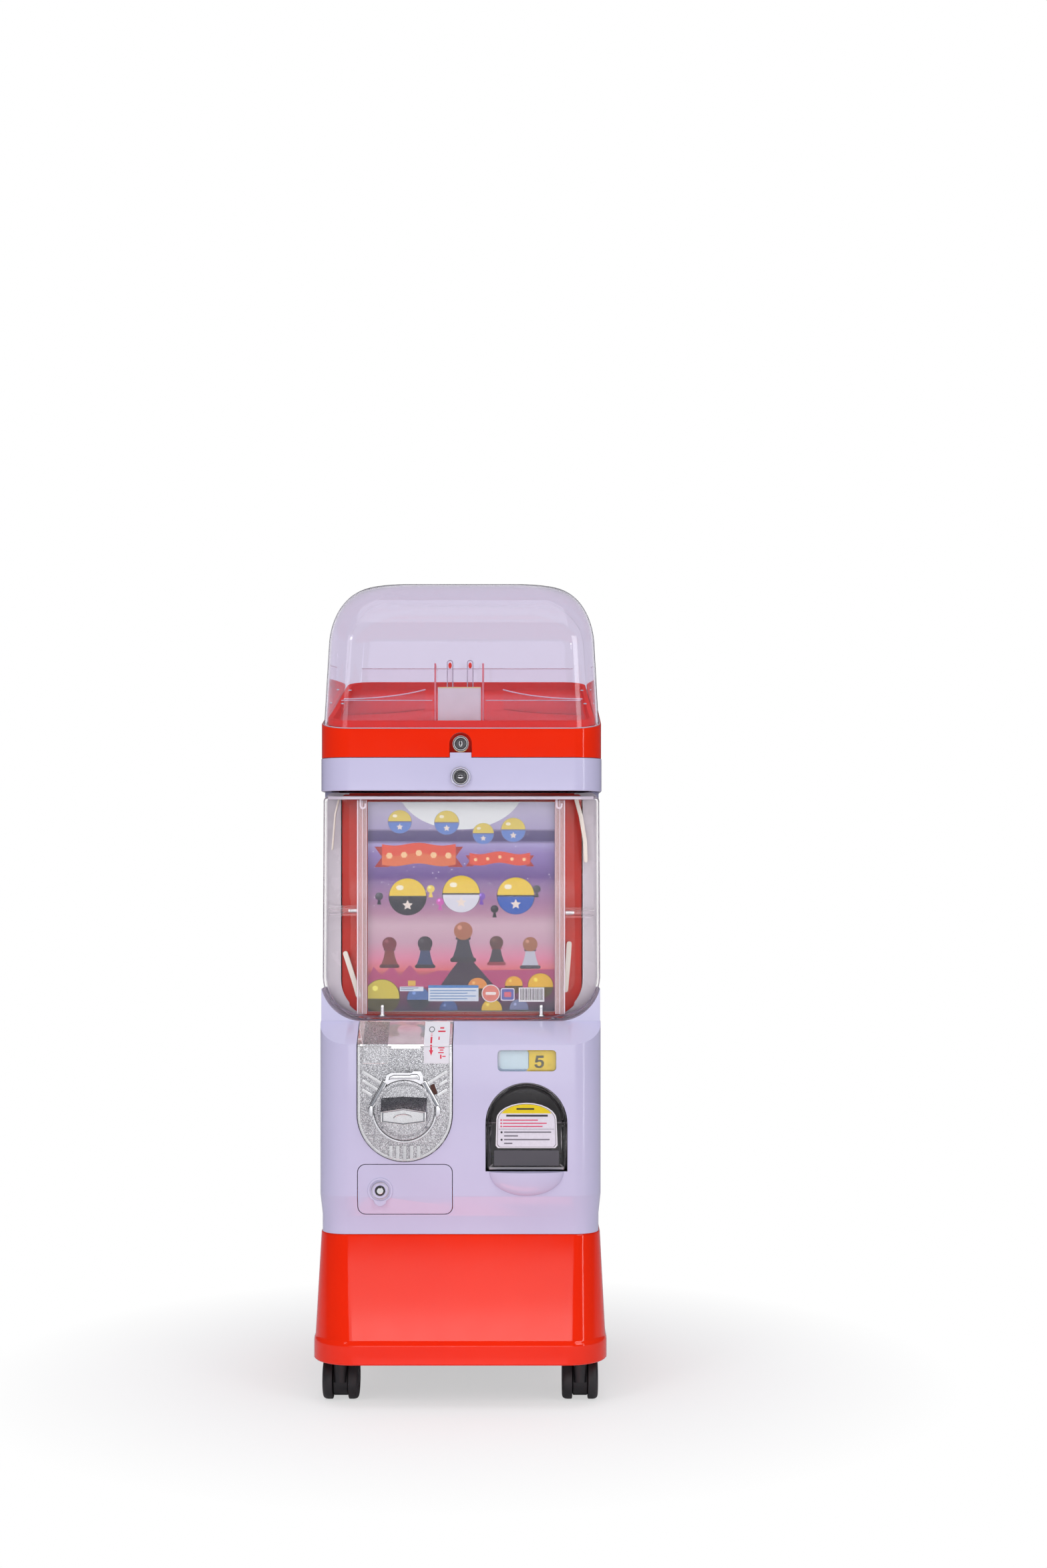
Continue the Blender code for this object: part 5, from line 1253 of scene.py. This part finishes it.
def make_locks():
    bands = [(0.0089, 0.0062, "lock_face"), (0.0080, 0.0072, "ring_metal")]
    lock_barrel("lid_lock_ring", "lid_lock_barrel", "lid", LID_LOCK, -0.1475, 0.0102, -0.1384, -0.1200, bands)
    lock_plug("lid_lock_core", "lid_lock", LID_LOCK, -0.1479, False, "lid_lock_plug")
    bands = [(0.0112, 0.0099, "white_plastic"), (0.0098, 0.0062, "lock_face"), (0.0090, 0.0082, "ring_metal")]
    lock_barrel("display_lock_ring", "display_lock_barrel", "root", DISPLAY_LOCK,
                -0.1530, 0.0122, -0.1494, -0.1260, bands)
    lock_plug("display_lock_core", "display_lock", DISPLAY_LOCK, -0.1534, True, "display_lock_plug")
    brass = [(u, -0.1466, w) for u, w in arc(LID_LOCK, 0.0098, 222, 318, 10)]
    place(pipe("lid_lock_brass", brass, 0.0008, "brass"), "lid", "chrome")
    x, z = CASH_LOCK
    lock_barrel("cash_lock_ring", "cash_lock_barrel", "cash_door", CASH_LOCK,
                -0.1900, 0.0105, -0.1874, -0.1650, [(0.0090, 0.0062, "white_plastic")])
    cam = refined("cash_lock_plug", "steel", 0.0002)
    groove = plate("groove", circle(CASH_LOCK, 0.0056, 40), "XZ", -0.1905, -0.1902, "dark_plastic")
    profile = [(0.0, 0.001), (0.0, 0.0036), (0.0004, 0.0040), (0.001, 0.0040)]
    centre = turned("centre", profile, (x, -0.1908, z), (0, 1, 0), "chrome", 40)
    tick = plate("tick", corners((x - 0.0006, z + 0.0030), (x + 0.0006, z + 0.0060)), "XZ", -0.1910, -0.1903,
                 "dark_plastic", 0.0001)
    assemble("cash_lock_core", [cam, groove, centre, tick], "cash_lock", "chrome", "cash_lock_plug")


def make_door_cup():
    """The moulded surround of the cash door's lock: a raised rim with two ears below."""
    x, z = CASH_LOCK
    outer = arc(CASH_LOCK, 0.0150, -38, 218, 40)
    outer += [(x - 0.0078, z - 0.0118), (x - 0.0062, z - 0.0162)] + arc((x, z - 0.0130), 0.0058, 215, 325, 10)
    outer += [(x + 0.0062, z - 0.0162), (x + 0.0078, z - 0.0118)]
    inner = circle(CASH_LOCK, 0.0122, 48)
    rim = plate("door_cup", outer, "XZ", FRONT_Y - 0.0010, FRONT_Y + 0.0002, "white_plastic", 0.0005,
                holes=[inner])
    floor = plate("cup_floor", circle(CASH_LOCK, 0.0123, 48), "XZ", FRONT_Y - 0.0003, FRONT_Y + 0.0001,
                  "white_plastic", holes=[circle(CASH_LOCK, 0.0106, 40)])
    assemble("cash_lock_cup", [rim, floor], "cash_door", "white_plastic")
# Fixings and trim.


def threaded(name, start, end, radius, pitch):
    """A threaded pin of the display cover, from one point to another."""
    start, end = Vector(start), Vector(end)
    length = (end - start).length
    profile = [(0.0, radius * 0.8)]
    along = 0.0002
    while along + pitch < length:
        profile += [(along, radius), (along + pitch * 0.25, radius), (along + pitch * 0.6, radius * 0.82)]
        along += pitch
    profile.append((length, radius * 0.8))
    return place(turned(name, profile, start, end - start, "chrome", 24), "display_cover", "chrome")


def screw_head(name, centre, direction, radius, body):
    """A domed screw head with a cross recess, standing on a face."""
    profile = [(-0.0002, radius * 0.96), (0.0, radius), (radius * 0.16, radius * 0.97)]
    profile += [(radius * 0.34, radius * 0.78), (radius * 0.44, radius * 0.45)]
    profile += [(radius * 0.46, radius * 0.12)]
    head = turned(name, profile, centre, direction, "steel", 28)
    axis = Vector(direction).normalized()
    tools = []
    for side in (Vector((1, 0, 0)), axis.cross(Vector((1, 0, 0)))):
        across = side * radius * 0.55 + axis.cross(side) * radius * 0.12
        low = Vector(centre) + axis * radius * 0.28 - across
        high = Vector(centre) + axis * radius * 0.70 + across
        spans = [sorted(pair) for pair in zip(low, high)]
        tools.append(box("cross", [span[0] for span in spans], [span[1] for span in spans]))
    return place(boolean(head, "DIFFERENCE", *tools), body, "chrome")


def strap(name, path, width):
    """A flat cream strip with round ends behind the clear cover; the upper two are painted highlight lines.
    """
    front, rear = -0.1048, -0.1018
    spine = [Vector((x, 0, z)) for x, z in path]
    left, right = [], []
    for k, point in enumerate(spine):
        along = (spine[min(k + 1, len(spine) - 1)] - spine[max(k - 1, 0)]).normalized()
        across = Vector((-along.z, 0, along.x)) * width / 2
        left.append(point + across)
        right.append(point - across)
    ends = []
    for centre, start, finish in ((spine[-1], left[-1], right[-1]), (spine[0], right[0], left[0])):
        first = math.degrees(math.atan2(start.z - centre.z, start.x - centre.x))
        ends.append(arc((centre.x, centre.z), width / 2, first, first - 180, 8)[1:-1])
    outline = [(p.x, p.z) for p in left] + ends[0] + [(p.x, p.z) for p in reversed(right)] + ends[1]
    return place(plate(name, outline, "XZ", front, rear, "cream_plastic", 0.0005), "root", "white_plastic")


def make_cover_trim():
    strap("strip_low_left", [(-0.1418, 0.5324), (-0.1300, 0.4950), (-0.1262, 0.4815)], 0.0062)
    strap("strip_low_right", [(0.1312, 0.5443), (0.1296, 0.5200), (0.1269, 0.4882)], 0.0062)
    # The two upper strips are painted highlights: cream lines where bright streaks run down the inner side
    # walls.
    strap("highlight_line_right", [(0.1400, 0.7200), (0.1455, 0.7000), (0.1505, 0.6700), (0.1515, 0.6460)],
          0.0050)
    strap("highlight_line_left", [(-0.1500, 0.7205), (-0.1545, 0.7030), (-0.1580, 0.6600)], 0.0022)
    for name, side in (("hook_left", -1), ("hook_right", 1)):
        x = 0.1185 * side
        hook = [(x - 0.0030, 0.7205), (x - 0.0030, 0.7125)]
        hook += arc((x, 0.7125), 0.0030, 200, 360, 8, 0.0034 / 0.0030) + [(x + 0.0030, 0.7150)]
        points = [(u, HOLDER_FRONT, w) for u, w in hook]
        place(pipe(name, points, 0.0013, "pale_edge"), "display_cover", "clear_plastic")
    low, high = 0.4605, 0.7190
    for name, side in (("channel_left", -1), ("channel_right", 1)):
        web = sorted((side * 0.1145, side * 0.1248))
        pieces = [box("web", (web[0], HOLDER_FRONT, low), (web[1], -0.1307, high), "channel_plastic", 0.0002)]
        for x, half in ((0.1250, 0.0006), (0.1192, 0.0004), (0.1143, 0.0004)):
            pieces.append(box("edge", (side * x - half, -0.1324, low), (side * x + half, -0.1306, high),
                              "pale_edge", 0.0002))
        assemble(name, pieces, "display_cover", "clear_plastic")
    half = PANEL_HALF - 0.0014
    rim = round_box((-half, LEDGE_HIGH + 0.0026), (half, COVER_TOP - 0.0014), 0.0485, 0.006, 14)
    rim = [(x, COVER_Y + 0.0385, z) for x, z in rim]
    place(pipe("cover_rim", rim, 0.0009, "edge_grey", closed=True), "display_cover", "clear_plastic")
    rail = box("cover_rail", (-0.1600, -0.1412, 0.7194), (0.1600, -0.1392, 0.7234), "edge_grey", 0.0006)
    place(rail, "display_cover", "clear_plastic")
    refine("standoff_left", "tube_plastic")
    refine("standoff_right", "tube_plastic")
    pin_y = -0.1175
    for name, side, z in (("standoff_pin_left", -1, 0.5850), ("standoff_pin_right", 1, 0.5825)):
        threaded(name, (side * 0.1264, pin_y, z), (side * 0.1370, pin_y, z), 0.0024, 0.0012)
    screw_y = -0.1290
    for name, x in (("foot_screw_left", -0.0951), ("foot_screw_right", 0.0968)):
        threaded(name, (x, screw_y, 0.4574), (x, screw_y, 0.4712), 0.0026, 0.0016)
        nut = plate(name + "_nut", circle((x, screw_y), 0.0046, 6), "XY", 0.4573, 0.4594, "steel", 0.0003)
        place(nut, "display_cover", "chrome")


def make_lid_pieces():
    # The tray's lighter red is painted light.
    refine("lid_tray", "lit_tray_red", 0.0006)
    insert = refine("display_insert", "insert_plastic", 0.0004)
    insert.name = "sample_insert"
    refine("sample_card", None, 0.0002)
    x0, x1 = -0.0283, 0.0237
    edge = box("card_edge", (x0, -0.1198, 0.8553), (x1, -0.1186, 0.8567), "yellow_card", 0.0002)
    place(edge, "lid", "cream_card")
    refine("display_prongs", "insert_plastic", 0.0003)
    edges = [box("front_top", (x0, -0.1257, 0.8395), (x1, -0.1233, 0.8404), "pale_edge", 0.0002)
             for x0, x1 in ((-0.1450, -0.0350), (0.0296, 0.1450))]
    edges.append(box("rear_top", (-0.143, 0.1848, 0.9056), (0.143, 0.1872, 0.9066), "pale_edge", 0.0002))
    cheek_foot = lid_top(-0.122) + 0.0006
    edges += [box("cheek", (x, -0.1224, cheek_foot), (x + 0.0022, -0.1216, 0.8852), "rose_edge", 0.0002)
              for x in (-0.0326, 0.0254)]
    for side in (-1, 1):
        wing = [(side * x, y, lid_top(y) + 0.0236 + 0.12 * y)
                for x, y in arc((-0.150, 0.100), 0.135, 270, 318, 14)]
        edges.append(pipe("wing_top", wing, 0.0008, "pale_edge"))
    for x in PRONG_X:
        finger = [(x + u, -0.0999, z) for u, z in
                  [(-0.0034, 0.8200)] + arc((0, 0.8875), 0.0034, 180, 0, 14) + [(0.0034, 0.8200)]]
        edges.append(pipe("finger_edge", finger, 0.0006, "edge_grey"))
    assemble("insert_edges", edges, "lid", "clear_plastic", angle=50)
    for name, x in zip(("prong_tip_left", "prong_tip_right"), PRONG_X):
        outline = circle((x, 0.8845), 0.0021, 20, 0.0036 / 0.0021)
        place(plate(name, outline, "XZ", -0.1003, -0.0999, "red_plastic", 0.0001), "lid", "red_plastic")
    spots = [(-0.150, 0.0), (0.150, 0.0), (-0.150, 0.12), (0.150, 0.12)]
    for k, (x, y) in enumerate(spots):
        z = lid_top(y) + 0.0082
        screw_head(f"lid_screw_{k + 1}", (x * 1.032, y, z), (0, -LID_SLOPE, 1), 0.0026, "lid")


def make_caster_details(name, x, y):
    """Two domed wheels with hub recesses, the hood between them and the steel washer on top."""
    axle = (x, y + 0.018, 0.025)
    discs = []
    for side in (-1, 1):
        start = (x + side * 0.0093, axle[1], axle[2])
        profile = [(0.0, 0.0235), (0.0004, 0.0247), (0.0012, 0.0250), (0.0060, 0.0250), (0.0088, 0.0246)]
        profile += [(0.0106, 0.0236), (0.0117, 0.0220), (0.0121, 0.0200), (0.0121, 0.0188), (0.0115, 0.0182)]
        profile += [(0.0115, 0.0080), (0.0119, 0.0070), (0.0122, 0.0062), (0.0122, 0.0050)]
        disc = turned("disc", profile, start, (side, 0, 0), "tyre", 72)
        cuts = []
        low, high = sorted((x + side * 0.0196, x + side * 0.0230))
        for middle in arc(axle[1:], 0.0130, 18, 306, 4):
            cuts.append(plate("recess", circle(middle, 0.0036, 20), "YZ", low, high))
        discs.append(boolean(disc, "DIFFERENCE", *cuts))
    discs.append(turned("axle", [(0.0, 0.0028), (0.0004, 0.0032), (0.0424, 0.0032), (0.0428, 0.0028)],
                        (x - 0.0214, axle[1], axle[2]), (1, 0, 0), "steel", 24))
    assemble(name + "_twin", discs, name + "_wheels", "dark_plastic", name + "_wheels")
    profile = [(0.0, 0.0186), (0.0004, 0.0200), (0.0014, 0.0206), (0.0168, 0.0206), (0.0178, 0.0200)]
    profile.append((0.0182, 0.0186))
    hood = turned("hood", profile, (x - 0.0090, axle[1], axle[2]), (1, 0, 0), "dark_plastic", 60)
    bore = turned("bore", [(0.0, 0.0038), (0.03, 0.0038)], (x - 0.015, axle[1], axle[2]), (1, 0, 0))
    hood = boolean(hood, "DIFFERENCE", bore)
    boss = turned("boss", [(0.0, 0.0078), (0.0235, 0.0078), (0.0250, 0.0084), (0.0262, 0.0084)],
                  (x, y, 0.0240), (0, 0, 1), "dark_plastic", 40)
    hood_top = (x, y, 0.0502)
    profile = [(0.0, 0.0045), (0.0170, 0.0045), (0.0178, 0.0040)]
    stem = turned("stem", profile, hood_top, (0, 0, 1), "steel", 28)
    profile = [(0.0, 0.0060), (0.0, 0.0088), (0.0003, 0.0092), (0.0010, 0.0092), (0.0013, 0.0086)]
    washer = turned("washer", profile, hood_top, (0, 0, 1), "chrome", 36)
    assemble(name + "_hood", [hood, boss, stem, washer], name, "dark_plastic", name + "_fork")


def make_casters():
    for name, x, y in (("caster_front_left", -0.143, -0.165), ("caster_front_right", 0.143, -0.165),
                       ("caster_rear_left", -0.143, 0.150), ("caster_rear_right", 0.143, 0.150)):
        make_caster_details(name, x, y)


def make_rear_fixings():
    face = 0.2125
    for k, (x, z) in enumerate([(x, z) for x in (-0.045, 0.0, 0.045) for z in (0.7520, 0.7900)]):
        screw_head(f"hinge_screw_{k + 1}", (x, face, z), (0, 1, 0), 0.0030, "root" if z < 0.77 else "lid")
    for node in ("hinge_leaf_fixed", "hinge_leaf_moving", "hinge_pin"):
        refine(node, None, 0.0003)
    (x0, _, z0), (x1, rear, z1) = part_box("back_panel")
    spots = [(x, z) for x in (x0 + 0.012, (x0 + x1) / 2, x1 - 0.012) for z in (z0 + 0.012, z1 - 0.012)]
    for k, (x, z) in enumerate(spots):
        screw_head(f"panel_screw_{k + 1}", (x, rear, z), (0, 1, 0), 0.0034, "root")


# The floor, the light and the camera.


def add_area(name, place_at, target, size, power, colour=(1, 1, 1)):
    light = bpy.data.lights.new(name, "AREA")
    light.shape = "RECTANGLE"
    light.size, light.size_y = size
    light.energy = power
    light.color = colour
    lamp = bpy.data.objects.new(name, light)
    bpy.context.scene.collection.objects.link(lamp)
    lamp.location = place_at
    lamp.rotation_euler = (Vector(target) - Vector(place_at)).to_track_quat("-Z", "Y").to_euler()
    return lamp


def make_studio():
    bm = bmesh.new()
    bmesh.ops.create_grid(bm, x_segments=24, y_segments=24, size=8)
    floor = link("floor", to_mesh("floor", bm), "floor")
    centre = (0, 0, 0.5)
    key_left = add_area("key_left", (-1.7, -2.4, 1.9), centre, (1.0, 1.4), 20)
    key_left.visible_glossy = False
    add_area("key_right", (1.9, -2.2, 1.8), centre, (0.9, 1.3), 15)
    add_area("low_front", (0.3, -2.9, 0.35), (0, 0, 0.3), (1.6, 0.5), 5)
    top = add_area("top", (0, -0.7, 2.6), centre, (1.6, 1.4), 17)
    top.visible_glossy = False
    strip = add_area("corner_strip", (1.85, -1.5, 0.62), (0.1, -0.1, 0.62), (0.08, 1.2), 2.6)
    strip.visible_diffuse = False
    add_area("hood_box", (-1.3, -2.2, 2.1), (0, 0, 0.9), (0.30, 0.22), 2.0)
    add_area("hood_star", (1.1, -2.4, 1.7), (0, 0, 0.9), (0.05, 0.05), 0.25)
    add_area("front_panel_light", (0.1, -3.4, 0.70), (0.1, 0, 0.70), (2.2, 0.30), 3.4)
    bounce = add_area("red_bounce", (0, -0.40, 0.003), (0, -0.40, 1), (0.30, 0.14), 0.26, (1, 0.22, 0.22))
    bounce.visible_camera = False
    world = bpy.data.worlds.new("studio")
    bpy.context.scene.world = world
    world.use_nodes = True
    tree = world.node_tree
    back = tree.nodes["Background"]
    lit, mirrored = (0.36, 0.35, 0.39, 1), (0.13, 0.13, 0.145, 1)
    ray = add(tree, "ShaderNodeLightPath")
    mix = add(tree, "ShaderNodeMix", {"data_type": "RGBA"})
    mix.inputs["A"].default_value = lit
    mix.inputs["B"].default_value = mirrored
    tree.links.new(ray.outputs["Is Glossy Ray"], mix.inputs["Factor"])
    shown = add(tree, "ShaderNodeMix", {"data_type": "RGBA"})
    shown.inputs["B"].default_value = (1.0, 1.0, 1.0, 1)
    tree.links.new(seen_directly(tree), shown.inputs["Factor"])
    tree.links.new(mix.outputs["Result"], shown.inputs["A"])
    tree.links.new(shown.outputs["Result"], back.inputs["Color"])


def make_camera():
    """A level 50 mm view from a little to the right, with the rise that a view camera gives."""
    data = bpy.data.cameras.new("camera")
    data.sensor_fit = "VERTICAL"
    data.sensor_height = 36
    data.lens = 50
    rise, side, distance, eye_height = 0.0504, 0.0755, 2.577, 0.643
    data.shift_y = rise
    camera = bpy.data.objects.new("camera", data)
    bpy.context.scene.collection.objects.link(camera)
    camera.location = (side, FRONT_Y - distance, eye_height)
    camera.rotation_euler = (math.radians(90), 0, 0)
    bpy.context.scene.camera = camera


bpy.context.scene.view_settings.view_transform = "Standard"
for make in (
    make_camera,
    make_studio,
    make_base,
    make_hood,
    make_cover,
    make_front_and_bowl,
    make_band,
    make_collar,
    make_cabinets,
    make_backing,
    make_poster,
    make_price,
    make_flap,
    make_faceplate,
    make_knob_guard,
    make_labels,
    make_knob,
    make_locks,
    make_door_cup,
    make_cover_trim,
    make_lid_pieces,
    make_casters,
    make_rear_fixings,
):
    make()
for node in frame["nodes"]:
    if not frame["nodes"][node].hide_render:
        refine(node)
